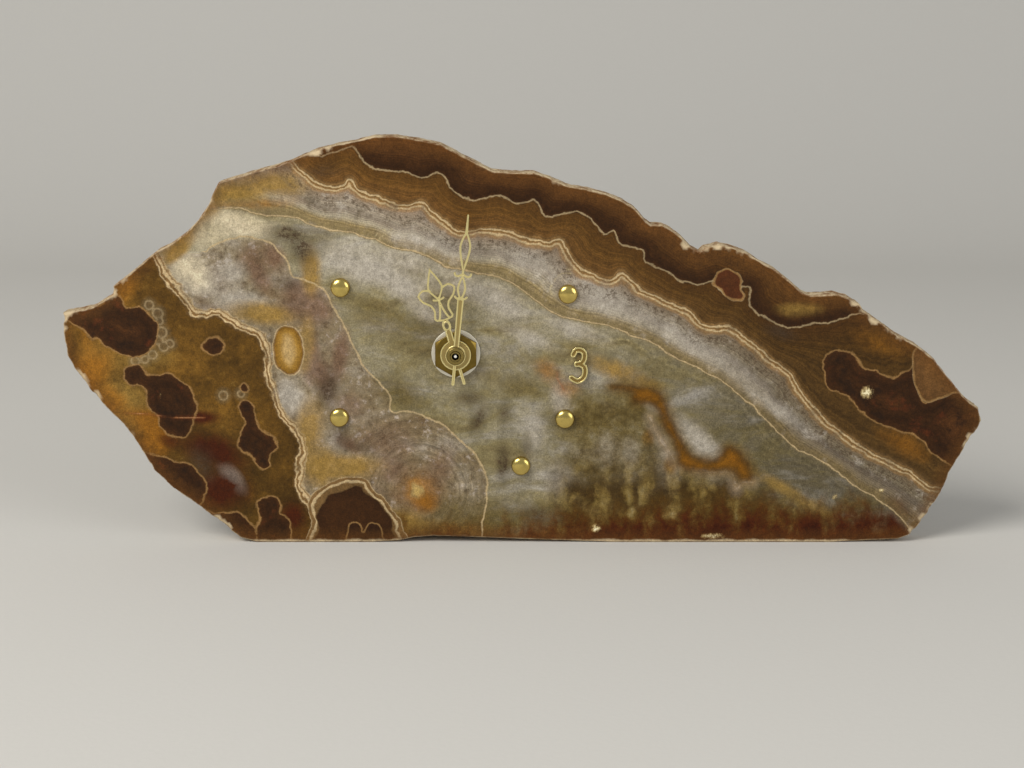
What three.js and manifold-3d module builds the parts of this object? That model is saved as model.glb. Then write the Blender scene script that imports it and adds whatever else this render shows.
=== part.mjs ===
// Desk clock made from a polished agate slab, with a quartz movement behind it.
// Millimetres, +Z up, the dial faces -Y, and the clock stands on the plane z = 0.
// Pieces are drawn from the dial axis; the finished group is set so that the origin
// lies under the middle of its box.

import * as THREE from 'three';
import { mergeVertices } from 'three/addons/utils/BufferGeometryUtils.js';
import Module from 'manifold-3d';

const wasm = await Module();
wasm.setup();

// Clearances
const seatGap = 0.2;
const fitGap = 0.12;
const runningGap = 0.3;
const glueGap = 0.15;

// Facets round a circle, from wide pieces to posts, and in a rounded corner
const wideFacets = 28;
const midFacets = 24;
const smallFacets = 16;
const tinyFacets = 12;
const postFacets = 8;
const cornerFacets = 3;

// How far a cutting solid reaches past what it cuts, how deep a post is rooted in its floor,
// the edge break of turned pieces, and the bore left inside a wheel for its arbor to fill
const overshoot = 1;
const hair = 0.01;
const rooted = 0.2;
const turnedBreak = 0.3;
const hiddenBore = 0.5;

// Agate slab: overall size, edge break and drawn outline (x from the dial axis, z from the table)
const slabWidth = 285.5;
const slabHeight = 128;
const slabThickness = 8;
const slabEdgeBreak = 0.5;
const drawnOutline = [
  [-121.5, 73.5], [-121.5, 67.5], [-120.5, 60], [-118, 55], [-114.5, 50], [-109, 43.5],
  [-103, 37], [-99, 30.5], [-95, 23.5], [-89, 17.5], [-81.5, 12], [-75.5, 7], [-68.5, 1.5],
  [-63.5, 0], [-27, 0], [-18.5, 0.5], [-14, 1.5], [-7.5, 2], [8, 1.5], [20, 1], [34.5, 0.5],
  [48.5, 0], [118.5, 0], [129, 0.5], [139.5, 1], [143.5, 2.5], [145, 4.5], [148, 8.5],
  [152.5, 16.5], [155, 23], [159, 30.5], [163, 37], [164, 39.5], [163, 43.5], [160, 45.5],
  [157, 48.5], [153, 53.5], [148.5, 59], [143.5, 63], [137, 66.5], [131.5, 70.5], [126.5, 74],
  [124.5, 76.5], [121, 78.5], [117, 79.5], [109.5, 79], [107, 80], [103.5, 83], [98.5, 87],
  [94, 89.5], [89, 92.5], [85, 94], [81, 95], [76.5, 94], [75, 92.5], [72.5, 94], [69.5, 97],
  [66.5, 99.5], [63.5, 101], [60, 101], [58, 102.5], [55, 106], [51, 108.5], [46, 110.5],
  [40, 112], [34, 113], [29, 115.5], [24, 117], [17.5, 117], [11.5, 117.5], [7.5, 119.5],
  [1.5, 122.5], [-4, 125.5], [-11, 127], [-17.5, 128], [-24.5, 128], [-30.5, 126.5],
  [-36, 125.5], [-42, 124], [-49, 121], [-54.5, 119], [-60.5, 117.5], [-65.5, 116], [-72, 114],
  [-73.5, 111.5], [-75, 108], [-78.5, 102.5], [-82.5, 98.5], [-87.5, 95], [-91.5, 93],
  [-96.5, 89], [-101.5, 85], [-105.5, 82], [-106, 79.5], [-108, 78], [-112, 75.5], [-116.5, 74.5],
];

// Rear foot: a wedge of the same stone glued behind the slab
const footWidth = 70;
const footDepth = 33;
const footToCase = 4;
const footToe = 6;
const footToeBreak = 1.5;
const footShoulder = 7;
const footTopBreak = 2.2;
const footWaistOut = 0.6;
const footWaistUp = 0.55;
const footEdgeBreak = 0.8;

// Dial: axis height, hour studs and the numeral, glued on by eye
const dialHeight = 61;
const studDiameter = 6;
const studHeight = 1.9;
const studRim = 0.35;
const studRimBreak = 0.8;
const studShoulder = 0.9;
const studDome = [[0, 1], [0.5, 0.9], [0.86, 0.46]];
const studCircle = 41;
const studs = [
  { hour: 10, out: 0, drift: 0.1 },
  { hour: 8, out: 0.8, drift: 0.8 },
  { hour: 5, out: 0.2, drift: 0.7 },
  { hour: 4, out: -1.2, drift: 1.6 },
  { hour: 2, out: -1.7, drift: 1.8 },
];
const numeralRadius = 38.2;
const numeralAngle = 95.6;
const numeralThickness = 1.2;
const numeralStroke = 1.75;
const numeralGrooveWidth = 0.85;
const numeralGrooveDepth = 0.35;
const numeralCentreline = [
  [-1.7, 3.4], [-0.9, 4.7], [0.5, 4.9], [1.7, 3.9], [1.7, 2.1], [0.9, 0.8], [-0.6, 0.4],
];
const numeralLowerCentreline = [
  [0.3, 0.5], [1.7, -0.4], [2.0, -2.2], [1.3, -4.1], [-0.4, -4.9], [-2.2, -3.9],
];

// Front fixing: washer, hexagon nut and threaded bushing
const washerDiameter = 15.2;
const washerThickness = 0.6;
const nutAcrossFlats = 12.7;
const nutThickness = 1.8;
const nutChamfer = 0.45;
const bushingDiameter = 8;
const bushingBore = 5.4;
const bushingProud = 0.2;
const bushingFlangeDiameter = 10;
const bushingFlangeThickness = 0.4;
const slabHoleDiameter = 9.5;
const gasketDiameter = 22;
const gasketThickness = 0.8;

// Hands: sheet thickness, spacing, length and the angle at which they are pressed on
const handThickness = 0.4;
const handSpacing = 1.0;
const hourHandLift = 0.2;
const hourHandAngle = -16.3;
const minuteHandAngle = 5.4;
const hourHubDiameter = 9.5;
const minuteHubDiameter = 6.2;
const minuteNutDiameter = 5.6;
const minuteNutThickness = 0.65;
const pipeProud = 0.3;

// Hour hand, drawn pointing up from its axis
const hourTip = 28.2;
const hourLeaf = [[1.45, 19.8], [2.45, 22.0], [1.6, 24.8], [0.8, 26.6]];
const hourLeafFoot = 17.6;
const hourRim = 0.6;
const hourPetal = [[2.1, 21.4], [4.0, 22.0], [5.7, 20.7], [4.8, 18.5], [2.8, 16.8]];
const hourLobe = [[2.2, 14.6], [2.8, 12.5], [1.7, 11.8], [0.8, 13.8], [0.3, 15.8], [0, 17.8]];
const hourBridge = [[-1.7, 11.8], [0, 11.5], [1.7, 11.8]];
const hourEyeHeight = 9.6;
const hourEyeRadius = 1.35;
const hourEyeStretch = 1.5;
const hourEyeBore = 0.5;
const hourNeckWidth = 2;
const hourCollar = [[-1.6, 18.3], [0, 17.9], [1.6, 18.3]];
const hourTail = 9.2;
const tailWidth = 0.95;
const narrowestOpening = 0.24;

// Minute hand, drawn pointing up from its axis
const minuteTip = 44;
const minuteTipWidth = 0.9;
const minuteLozenge = [[0.75, 28.4], [1.35, 30.8], [1.8, 34], [1.15, 36.6]];
const minuteLozengeTop = 39;
const minuteLozengeFoot = 25.6;
const minuteRim = 0.6;
const minuteCurl = [[0, 25.6], [1.2, 24.9], [2.2, 25.0], [2.5, 25.7]];
const minuteEye = [[1.0, 19.2], [1.4, 21.2], [0.9, 23.4]];
const minuteEyeTop = 25.4;
const minuteEyeFoot = 17.2;
const minuteLowerCurl = [[0, 18.4], [1.1, 17.9], [1.8, 18.5]];
const minuteCurlWidth = 0.65;
const minuteStem = 0.8;
const minuteStemTop = 1.0;
const minuteTail = 8.9;

// Movement case: the cell's length sets its width, and the room above and below the dial axis its height
const caseDepth = 16;
const caseWall = 1.2;
const caseCorner = 3;
const caseEdgeBreak = 0.3;
const chamberHead = 26.8;
const chamberFoot = 10;
const bayRoom = 1.1;
const contactRoom = 3.1;
const coverThickness = 1.2;
const fingerCutWidth = 18;
const fingerCutDepth = 8;
const fingerCutCorner = 1;
const platePostRadius = 1.5;
const platePostInset = 3.8;
const platePostFoot = 3;
const platePostTop = 3.4;

// Battery and its contacts
const batteryDiameter = 14.5;
const batteryLength = 50.5;
const batteryNubDiameter = 5.5;
const batteryNubLength = 1.3;
const batteryEndBreak = 0.6;
const contactThickness = 0.4;
const contactWidth = 9;
const contactHeight = 12;
const contactTail = 3;
const contactTailTop = 3;
const springRadius = 3.6;
const springSteps = [[1, 0], [1, 0.3], [0.8, 0.35], [0.8, 0.6], [0.55, 0.65], [0.55, 1]];

// Gear train: module and tooth numbers
const toothTip = 0.85;
const toothRoot = 1.15;
const toothShare = 0.4;
const fewTeeth = 12;
const pinionTooth = [[-toothRoot, 0.95], [0, 1], [toothTip, 0.42]];
const wheelTooth = [[-toothRoot, 1.3], [toothTip, 0.5]];
const motionModule = 0.4;
const cannonTeeth = 10;
const motionTeeth = 30;
const motionPinionTeeth = 8;
const hourTeeth = 32;
const settingTeeth = 10;
const centreModule = 0.25;
const centreTeeth = 64;
const thirdPinionTeeth = 8;
const thirdTeeth = 60;
const secondPinionTeeth = 8;
const secondModule = 0.3;
const secondTeeth = 40;
const intermediatePinionTeeth = 8;
const rotorModule = 0.25;
const intermediateTeeth = 48;
const rotorPinionTeeth = 8;

// Gear train: where each arbor lies, as an angle from the one before it
const motionAngle = -10;
const settingAngle = 40;
const thirdAngle = 150;
const intermediateAngle = 80;
const rotorAngle = 75;

// Gear train: heights above the inside of the case front
const hourWheelLevel = 0.8;
const motionPinionLevel = 0.6;
const motionWheelLevel = 2.3;
const cannonLevel = 2.0;
const centreWheelLevel = 3.9;
const thirdPinionLevel = 3.6;
const middlePlateLevel = 5.4;
const secondPinionLevel = 6.8;
const thirdWheelLevel = 7.1;
const secondWheelLevel = 8.5;
const intermediatePinionLevel = 8.2;
const intermediateWheelLevel = 9.9;
const rotorPinionLevel = 9.6;
const rotorMagnetLevel = 6.7;
const statorLevel = 7.4;
const boardLevel = 7.8;
const wheelThickness = 0.7;
const hourWheelThickness = 0.8;
const pinionThickness = 1.3;
const middlePlateThickness = 1.0;
const middlePlateTop = 17.4;
const plateCorner = 1.2;
const motionHubWall = 0.35;
const secondPinionSpare = 0.1;

// Arbors and pipes
const hourPipeRadius = 2.5;
const hourPipeBore = 1.8;
const minutePipeRadius = 1.55;
const minutePipeBore = 1.15;
const secondArborRadius = 0.45;
const secondArborSunk = 0.5;
const arborRadius = 0.45;
const settingArborRadius = 1.0;
const motionPostRadius = 0.6;
const pivotDepth = 0.6;
const centreHubRadius = 2.8;

// Motor and electronics
const magnetRadius = 2.5;
const magnetThickness = 2.4;
const statorThickness = 1.0;
const statorAirGap = 0.5;
const statorRing = 4.9;
const statorInset = 3.8;
const statorBar = 3;
const statorToBoard = 1;
const statorCorner = 0.8;
const statorBarRise = 0.08;
const coilToRing = 1.04;
const coilRadius = 3.5;
const coilWinding = 3.1;
const coilFlange = 0.8;
const boardWidth = 14;
const boardHeight = 18;
const boardInset = 0.8;
const boardThickness = 1.0;
const boardCorner = 0.8;
const boardPostInset = 2;
const boardPostFoot = 2.5;
const restRadius = 1.1;
const crystalDiameter = 3;
const crystalLength = 8;
const crystalInset = 4;

// Setting knob
const knobDiameter = 11;
const knobThickness = 3;
const knobFlutes = 20;
const knobFluteDepth = 0.45;
const knobDishDepth = 0.8;
const knobDishFloor = 0.55;
const knobDishRim = 0.68;

// Faces that follow from the sizes above, along Y
const slabFront = -slabThickness / 2;
const slabBack = slabThickness / 2;
const washerFront = slabFront - seatGap - washerThickness;
const nutFront = washerFront - seatGap - nutThickness;
const bushingFront = nutFront - bushingProud;
const hourHandFront = bushingFront - hourHandLift - handThickness;
const minuteHandFront = hourHandFront - handSpacing - handThickness;
const minuteNutFront = minuteHandFront - fitGap - minuteNutThickness;
const minutePipeFront = minuteNutFront - pipeProud;
const caseFront = slabBack + 2 * seatGap + gasketThickness;
const caseInside = caseFront + caseWall;
const caseRear = caseFront + caseDepth;
const coverInside = caseRear - coverThickness;

// Edges of the case, its chamber and its battery bay, from the dial axis
const halfInside = (batteryLength + contactRoom) / 2;
const halfCase = halfInside + caseWall;
const caseHead = chamberHead + caseWall;
const chamberFloor = -chamberFoot;
const bayTop = chamberFloor - caseWall;
const bayFloor = bayTop - batteryDiameter - bayRoom;
const caseFloor = bayFloor - caseWall;
const bayMiddle = (bayTop + bayFloor) / 2;
const footHeight = dialHeight + caseFloor - footToCase;

// The drawn outline, stretched to the slab's width and height
const drawnLeft = Math.min(...drawnOutline.map(([x]) => x));
const drawnRight = Math.max(...drawnOutline.map(([x]) => x));
const drawnTop = Math.max(...drawnOutline.map(([, z]) => z));
const slabOutline = drawnOutline.map(([x, z]) => {
  return [(x * slabWidth) / (drawnRight - drawnLeft), (z * slabHeight) / drawnTop];
});

// Small helpers for angles and points
const radians = THREE.MathUtils.degToRad;

function polar(from, distance, angle) {
  return [from[0] + distance * Math.cos(radians(angle)), from[1] + distance * Math.sin(radians(angle))];
}

function mirrored(points) {
  return points.map(([u, v]) => [-u, v]);
}

// Arbor positions, from the dial axis
const centreAxis = [0, 0];
const motionDistance = (motionModule * (cannonTeeth + motionTeeth)) / 2;
const motionAxis = polar(centreAxis, motionDistance, motionAngle);
const settingDistance = (motionModule * (settingTeeth + motionTeeth)) / 2;
const settingAxis = polar(motionAxis, settingDistance, settingAngle);
const thirdDistance = (centreModule * (centreTeeth + thirdPinionTeeth)) / 2;
const thirdAxis = polar(centreAxis, thirdDistance, thirdAngle);
const thirdModule = (2 * thirdDistance) / (thirdTeeth + secondPinionTeeth);
const hourModule = (2 * motionDistance) / (hourTeeth + motionPinionTeeth);
const intermediateDistance = (secondModule * (secondTeeth + intermediatePinionTeeth)) / 2;
const intermediateAxis = polar(centreAxis, intermediateDistance, intermediateAngle);
const rotorDistance = (rotorModule * (intermediateTeeth + rotorPinionTeeth)) / 2;
const rotorAxis = polar(intermediateAxis, rotorDistance, rotorAngle);

// Board, stator, coil and posts, set in from the chamber's walls
const boardRight = halfInside - boardInset;
const boardLeft = boardRight - boardWidth;
const boardTop = chamberHead - boardInset;
const boardFoot = boardTop - boardHeight;
const statorLeft = statorInset - halfInside;
const statorRight = boardLeft - statorToBoard;
const statorTop = chamberHead - statorInset;
const coilLeft = statorLeft + statorBar;
const coilRight = rotorAxis[0] - statorRing - coilToRing;
const platePosts = [-1, 1].flatMap((side) => {
  const x = side * (halfInside - platePostInset);
  return [[x, chamberFloor + platePostFoot], [x, middlePlateTop - platePostTop]];
});
const boardPosts = [boardLeft + boardPostInset, boardRight - boardPostInset].map((x) => {
  return [x, boardFoot + boardPostFoot];
});

// Solids: a closed geometry becomes a solid that can be joined and cut
function solid(geometry) {
  const plain = geometry.clone();
  plain.deleteAttribute('normal');
  plain.deleteAttribute('uv');
  const merged = mergeVertices(plain, 1e-4);
  const mesh = new wasm.Mesh({
    numProp: 3,
    vertProperties: new Float32Array(merged.attributes.position.array),
    triVerts: new Uint32Array(merged.index.array),
  });
  return new wasm.Manifold(mesh);
}

function join(solids) {
  return solids.reduce((whole, next) => whole.add(next));
}

function cut(body, tools) {
  return tools.reduce((whole, tool) => whole.subtract(tool), body);
}

function geometryOf(body) {
  const mesh = body.getMesh();
  const geometry = new THREE.BufferGeometry();
  geometry.setAttribute('position', new THREE.BufferAttribute(mesh.vertProperties, 3));
  geometry.setIndex(new THREE.BufferAttribute(mesh.triVerts, 1));
  geometry.computeVertexNormals();
  return geometry;
}

// Outlines, drawn in x and z
function outline(points) {
  return new THREE.Shape(points.map(([x, z]) => new THREE.Vector2(x, z)));
}

function circlePath(radius, segments, x = 0, z = 0) {
  const points = [];
  for (let i = 0; i < segments; i += 1) {
    const angle = (2 * Math.PI * i) / segments;
    points.push(new THREE.Vector2(x + radius * Math.cos(angle), z + radius * Math.sin(angle)));
  }
  return points;
}

function disc(radius, segments, bore = 0, boreSegments = segments) {
  const shape = new THREE.Shape(circlePath(radius, segments));
  if (bore > 0) {
    shape.holes.push(new THREE.Path(circlePath(bore, boreSegments)));
  }
  return shape;
}

function roundedRectangle(left, foot, right, top, corner) {
  const shape = new THREE.Shape();
  shape.moveTo(left + corner, foot);
  shape.lineTo(right - corner, foot);
  shape.absarc(right - corner, foot + corner, corner, -Math.PI / 2, 0);
  shape.lineTo(right, top - corner);
  shape.absarc(right - corner, top - corner, corner, 0, Math.PI / 2);
  shape.lineTo(left + corner, top);
  shape.absarc(left + corner, top - corner, corner, Math.PI / 2, Math.PI);
  shape.lineTo(left, foot + corner);
  shape.absarc(left + corner, foot + corner, corner, Math.PI, 1.5 * Math.PI);
  return shape;
}

// A smooth ribbon of even width with round ends, along a centreline
function ribbon(centreline, width, steps = 2) {
  const curve = new THREE.SplineCurve(centreline.map(([u, v]) => new THREE.Vector2(u, v)));
  const count = steps * (centreline.length - 1);
  const left = [];
  const right = [];
  for (let i = 0; i <= count; i += 1) {
    const point = curve.getPoint(i / count);
    const along = curve.getTangent(i / count);
    left.push([point.x - (along.y * width) / 2, point.y + (along.x * width) / 2]);
    right.push([point.x + (along.y * width) / 2, point.y - (along.x * width) / 2]);
  }
  const end = roundEnd(curve.getPoint(1), curve.getTangent(1), width / 2);
  const start = roundEnd(curve.getPoint(0), curve.getTangent(0).negate(), width / 2);
  return outline([...right, ...end, ...left.reverse(), ...start]);
}

function roundEnd(point, along, radius) {
  const base = Math.atan2(along.y, along.x);
  return [-0.25, 0, 0.25].map((turn) => {
    const angle = base + turn * Math.PI;
    return [point.x + radius * Math.cos(angle), point.y + radius * Math.sin(angle)];
  });
}

// A leaf that is the same left and right, from its foot to its tip
function leaf(side, foot, tip) {
  const drawn = [[0, foot], ...side, [0, tip]].map(([u, v]) => new THREE.Vector2(u, v));
  const half = new THREE.SplineCurve(drawn);
  const right = half.getPoints(10).map((point) => [Math.max(point.x, 0), point.y]);
  const left = mirrored(right.slice(1, -1)).reverse();
  return outline([...right, ...left]);
}

// Flat pieces: an outline in x and z, with its front face at the given y
function plate(shape, front, thickness) {
  const geometry = new THREE.ExtrudeGeometry(shape, {
    depth: thickness,
    bevelEnabled: false,
    curveSegments: cornerFacets,
  });
  geometry.rotateX(Math.PI / 2);
  geometry.translate(0, front + thickness, 0);
  return solid(geometry);
}

function brokenPlate(shape, front, thickness, edgeBreak) {
  const geometry = new THREE.ExtrudeGeometry(shape, {
    depth: thickness - 2 * edgeBreak,
    bevelEnabled: true,
    bevelSegments: 1,
    bevelThickness: edgeBreak,
    bevelSize: edgeBreak,
    bevelOffset: -edgeBreak,
    curveSegments: cornerFacets,
  });
  geometry.rotateX(Math.PI / 2);
  geometry.translate(0, front + thickness - edgeBreak, 0);
  return solid(geometry);
}

// Turned pieces: a profile of radius and y, turned about the Y axis
function turned(profile, segments) {
  const points = profile.map(([radius, y]) => new THREE.Vector2(radius, y));
  return solid(new THREE.LatheGeometry(points, segments));
}

function tube(inner, outer, front, rear, segments) {
  return turned([[inner, front], [outer, front], [outer, rear], [inner, rear], [inner, front]], segments);
}

function pin(radius, front, rear, segments) {
  return turned([[0, front], [radius, front], [radius, rear], [0, rear]], segments);
}

// Cutting tools, which reach past both faces of what they cut
function drill(radius, front, rear, facets) {
  return pin(radius, front - overshoot, rear + overshoot, facets);
}

function cutter(shape, front, thickness) {
  return plate(shape, front - overshoot, thickness + 2 * overshoot);
}

function moved(body, axis) {
  return body.translate([axis[0], 0, axis[1]]);
}

function turnedInPlane(body, angle) {
  return body.rotate([0, angle, 0]);
}

// Gears: a ring of teeth, with its first tooth at the given phase
function gearShape(teeth, module, phase, bore) {
  const pitchRadius = (teeth * module) / 2;
  const halfTooth = (toothShare * Math.PI) / teeth;
  const rising = teeth < fewTeeth ? pinionTooth : wheelTooth;
  const flank = [...rising.map(([height, side]) => [height, -side]), ...rising.toReversed()];
  const points = [];
  for (let tooth = 0; tooth < teeth; tooth += 1) {
    const middle = phase + (2 * Math.PI * tooth) / teeth;
    for (const [height, side] of flank) {
      const radius = pitchRadius + height * module;
      const angle = middle + side * halfTooth;
      points.push(new THREE.Vector2(radius * Math.cos(angle), radius * Math.sin(angle)));
    }
  }
  const shape = new THREE.Shape(points);
  shape.holes.push(new THREE.Path(circlePath(bore, tinyFacets)));
  return shape;
}

// Phase of a gear that meshes with another, given the angle of the line between them
function meshedPhase(phase, teeth, otherTeeth, lineAngle) {
  const line = radians(lineAngle);
  const share = ((line - phase) * teeth) / (2 * Math.PI);
  return line + Math.PI - ((0.5 - share) * 2 * Math.PI) / otherTeeth;
}

const centrePhase = 0;
const thirdPinionPhase = meshedPhase(centrePhase, centreTeeth, thirdPinionTeeth, thirdAngle);
const secondPinionPhase = meshedPhase(0, thirdTeeth, secondPinionTeeth, thirdAngle + 180);
const intermediatePinionPhase = meshedPhase(0, secondTeeth, intermediatePinionTeeth, intermediateAngle);
const rotorPinionPhase = meshedPhase(0, intermediateTeeth, rotorPinionTeeth, rotorAngle);
const cannonPhase = meshedPhase(0, motionTeeth, cannonTeeth, motionAngle + 180);
const hourPhase = meshedPhase(0, motionPinionTeeth, hourTeeth, motionAngle + 180);
const settingPhase = meshedPhase(0, motionTeeth, settingTeeth, settingAngle);

function gear(teeth, module, phase, bore, level, thickness) {
  return plate(gearShape(teeth, module, phase, bore), caseInside + level, thickness);
}

// The stone: slab with its drilled hole, and the wedge behind it
function agateSlab() {
  const slab = brokenPlate(outline(slabOutline), slabFront, slabThickness, slabEdgeBreak);
  const hole = drill(slabHoleDiameter / 2, slabFront, slabBack, wideFacets);
  return cut(slab, [moved(hole, [0, dialHeight])]);
}

function backFoot() {
  const side = outline([
    [0, 0],
    [footDepth - footToeBreak, 0],
    [footDepth, footToeBreak],
    [footDepth, footToe],
    [footDepth * footWaistOut, footHeight * footWaistUp],
    [footShoulder, footHeight - footTopBreak],
    [footShoulder - footTopBreak, footHeight],
    [0, footHeight],
  ]);
  const geometry = new THREE.ExtrudeGeometry(side, {
    depth: footWidth - 2 * footEdgeBreak,
    bevelEnabled: true,
    bevelSegments: 1,
    bevelThickness: footEdgeBreak,
    bevelSize: footEdgeBreak,
    bevelOffset: -footEdgeBreak,
  });
  geometry.translate(0, 0, -(footWidth - 2 * footEdgeBreak) / 2);
  geometry.rotateX(Math.PI / 2);
  geometry.rotateZ(Math.PI / 2);
  geometry.translate(0, slabBack + seatGap, 0);
  return solid(geometry);
}

// The dial: studs and numeral
function hourStud() {
  const radius = studDiameter / 2;
  const rear = slabFront - glueGap;
  const profile = [
    ...studDome.map(([across, up]) => [radius * across, rear - studHeight * up]),
    [radius * studShoulder, rear - studRim],
    [radius, rear - studRim * studRimBreak],
    [radius, rear],
    [0, rear],
  ];
  return turned(profile, smallFacets);
}

function studPosition(stud) {
  return polar(centreAxis, studCircle + stud.out, 90 - stud.hour * 30 - stud.drift);
}

function numeralThree() {
  const front = slabFront - glueGap - numeralThickness;
  const strokes = [numeralCentreline, numeralLowerCentreline];
  const body = join(strokes.map((line) => plate(ribbon(line, numeralStroke), front, numeralThickness)));
  const grooves = strokes.map((line) => {
    return plate(ribbon(line, numeralGrooveWidth), front - overshoot, numeralGrooveDepth + overshoot);
  });
  return cut(body, grooves);
}

// The front fixing
function dialWasher() {
  const rear = washerFront + washerThickness;
  return tube(bushingDiameter / 2 + fitGap, washerDiameter / 2, washerFront, rear, wideFacets);
}

function hexNut() {
  const corner = nutAcrossFlats / 2 / Math.cos(Math.PI / 6);
  const corners = circlePath(corner, 6).map((point) => new THREE.Vector2(-point.y, point.x));
  const shape = new THREE.Shape(corners);
  const prism = plate(shape, nutFront, nutThickness);
  const rear = nutFront + nutThickness;
  const chamfered = turned([
    [0, nutFront - hair],
    [nutAcrossFlats / 2, nutFront - hair],
    [corner + hair, nutFront + nutChamfer],
    [corner + hair, rear + hair],
    [0, rear + hair],
  ], midFacets);
  const bore = drill(bushingDiameter / 2 + fitGap, nutFront, rear, midFacets);
  return prism.intersect(chamfered).subtract(bore);
}

function centreBushing() {
  const inner = bushingBore / 2;
  const outer = bushingDiameter / 2;
  const flange = caseInside + seatGap / 2;
  return turned([
    [inner, bushingFront],
    [outer - turnedBreak, bushingFront],
    [outer, bushingFront + turnedBreak],
    [outer, flange],
    [bushingFlangeDiameter / 2, flange],
    [bushingFlangeDiameter / 2, flange + bushingFlangeThickness],
    [inner, flange + bushingFlangeThickness],
    [inner, bushingFront],
  ], midFacets);
}

function rubberGasket() {
  const front = slabBack + seatGap;
  const rear = front + gasketThickness;
  return tube(bushingDiameter / 2 + fitGap, gasketDiameter / 2, front, rear, midFacets);
}

// The hands
function openLeaf(side, foot, tip, rim) {
  const inner = side.map(([u, v]) => [Math.max(u - rim, narrowestOpening / 2), v]);
  return [leaf(side, foot, tip), leaf(inner, foot + 2 * rim, tip - 2 * rim)];
}

function hourHand() {
  const front = hourHandFront;
  const eyeHalf = hourEyeRadius * hourEyeStretch;
  const petalAndLobe = [...hourPetal, ...hourLobe];
  const [blade, bladeHole] = openLeaf(hourLeaf, hourLeafFoot, hourTip, hourRim);
  const layers = [
    disc(hourHubDiameter / 2, midFacets),
    ribbon([[0, 0], [0, hourEyeHeight - eyeHalf]], hourNeckWidth, 1),
    blade,
    ribbon(petalAndLobe, hourRim),
    ribbon(mirrored(petalAndLobe), hourRim),
    ribbon(hourBridge, hourRim),
    ribbon(hourCollar, hourRim),
    ribbon([[0, 0], [0, -hourTail]], tailWidth, 1),
  ];
  const eye = disc(hourEyeRadius, smallFacets, hourEyeRadius * hourEyeBore, tinyFacets);
  const eyeRing = plate(eye, front, handThickness).scale([1, 1, hourEyeStretch]);
  const flats = layers.map((shape) => plate(shape, front, handThickness));
  const body = join([...flats, moved(eyeRing, [0, hourEyeHeight])]);
  const opening = cutter(bladeHole, front, handThickness);
  const bore = drill(hourPipeRadius + fitGap, front, front + handThickness, smallFacets);
  return turnedInPlane(cut(body, [opening, bore]), hourHandAngle);
}

function minuteHand() {
  const front = minuteHandFront;
  const [lozenge, lozengeHole] = openLeaf(minuteLozenge, minuteLozengeFoot, minuteLozengeTop, minuteRim);
  const [eye, eyeHole] = openLeaf(minuteEye, minuteEyeFoot, minuteEyeTop, minuteRim);
  const stem = outline([[-minuteStem, 0], [minuteStem, 0], [minuteStemTop, minuteEyeFoot + minuteRim],
    [-minuteStemTop, minuteEyeFoot + minuteRim]]);
  const point = outline([
    [-minuteTipWidth / 2, minuteLozengeTop - overshoot],
    [minuteTipWidth / 2, minuteLozengeTop - overshoot],
    [minuteTipWidth / 4, minuteTip - minuteTipWidth / 4],
    [0, minuteTip],
    [-minuteTipWidth / 4, minuteTip - minuteTipWidth / 4],
  ]);
  const layers = [
    disc(minuteHubDiameter / 2, midFacets),
    stem,
    eye,
    lozenge,
    point,
    ribbon(minuteCurl, minuteCurlWidth),
    ribbon(mirrored(minuteCurl), minuteCurlWidth),
    ribbon(minuteLowerCurl, minuteCurlWidth),
    ribbon(mirrored(minuteLowerCurl), minuteCurlWidth),
    ribbon([[0, minuteEyeTop - overshoot], [0, minuteLozengeFoot + overshoot]], minuteCurlWidth, 1),
    ribbon([[0, 0], [0, -minuteTail]], tailWidth, 1),
  ];
  const body = join(layers.map((shape) => plate(shape, front, handThickness)));
  const holes = [lozengeHole, eyeHole].map((shape) => cutter(shape, front, handThickness));
  const bore = drill(minutePipeRadius + fitGap, front, front + handThickness, smallFacets);
  return turnedInPlane(cut(body, [...holes, bore]), minuteHandAngle);
}

function minuteNut() {
  const outer = minuteNutDiameter / 2;
  const inner = minutePipeRadius + fitGap;
  const rear = minuteNutFront + minuteNutThickness;
  return turned([
    [inner, minuteNutFront], [outer - turnedBreak, minuteNutFront], [outer, minuteNutFront + turnedBreak],
    [outer, rear], [inner, rear], [inner, minuteNutFront],
  ], midFacets);
}

// The motion work: pipes, cannon pinion, motion wheel and setting pinion
function hourWheel() {
  const wheel = gear(hourTeeth, hourModule, hourPhase, hourPipeBore, hourWheelLevel, hourWheelThickness);
  const rear = caseInside + hourWheelLevel + hourWheelThickness;
  const pipe = tube(hourPipeBore, hourPipeRadius, hourHandFront - seatGap, rear, tinyFacets);
  return join([wheel, pipe]);
}

function minuteArbor() {
  const cannon = gear(cannonTeeth, motionModule, cannonPhase, minutePipeBore, cannonLevel,
    pinionThickness);
  const rear = caseInside + middlePlateLevel - runningGap;
  const pipe = tube(minutePipeBore, minutePipeRadius, minutePipeFront, rear, tinyFacets);
  return join([cannon, pipe]);
}

function motionWheel() {
  const bore = motionPostRadius + seatGap;
  const pinion = gear(motionPinionTeeth, hourModule, 0, bore, motionPinionLevel, pinionThickness);
  const wheel = gear(motionTeeth, motionModule, 0, bore, motionWheelLevel, wheelThickness);
  const hubFront = caseInside + motionPinionLevel;
  const hubRear = caseInside + motionWheelLevel + wheelThickness;
  const hub = tube(bore, bore + motionHubWall, hubFront, hubRear, tinyFacets);
  return join([pinion, wheel, hub]);
}

function settingPinion() {
  const bore = settingArborRadius * hiddenBore;
  const pinion = gear(settingTeeth, motionModule, settingPhase, bore, cannonLevel, pinionThickness);
  const front = caseInside - pivotDepth + seatGap;
  const arbor = pin(settingArborRadius, front, caseRear + seatGap, smallFacets);
  return join([pinion, arbor]);
}

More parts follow.
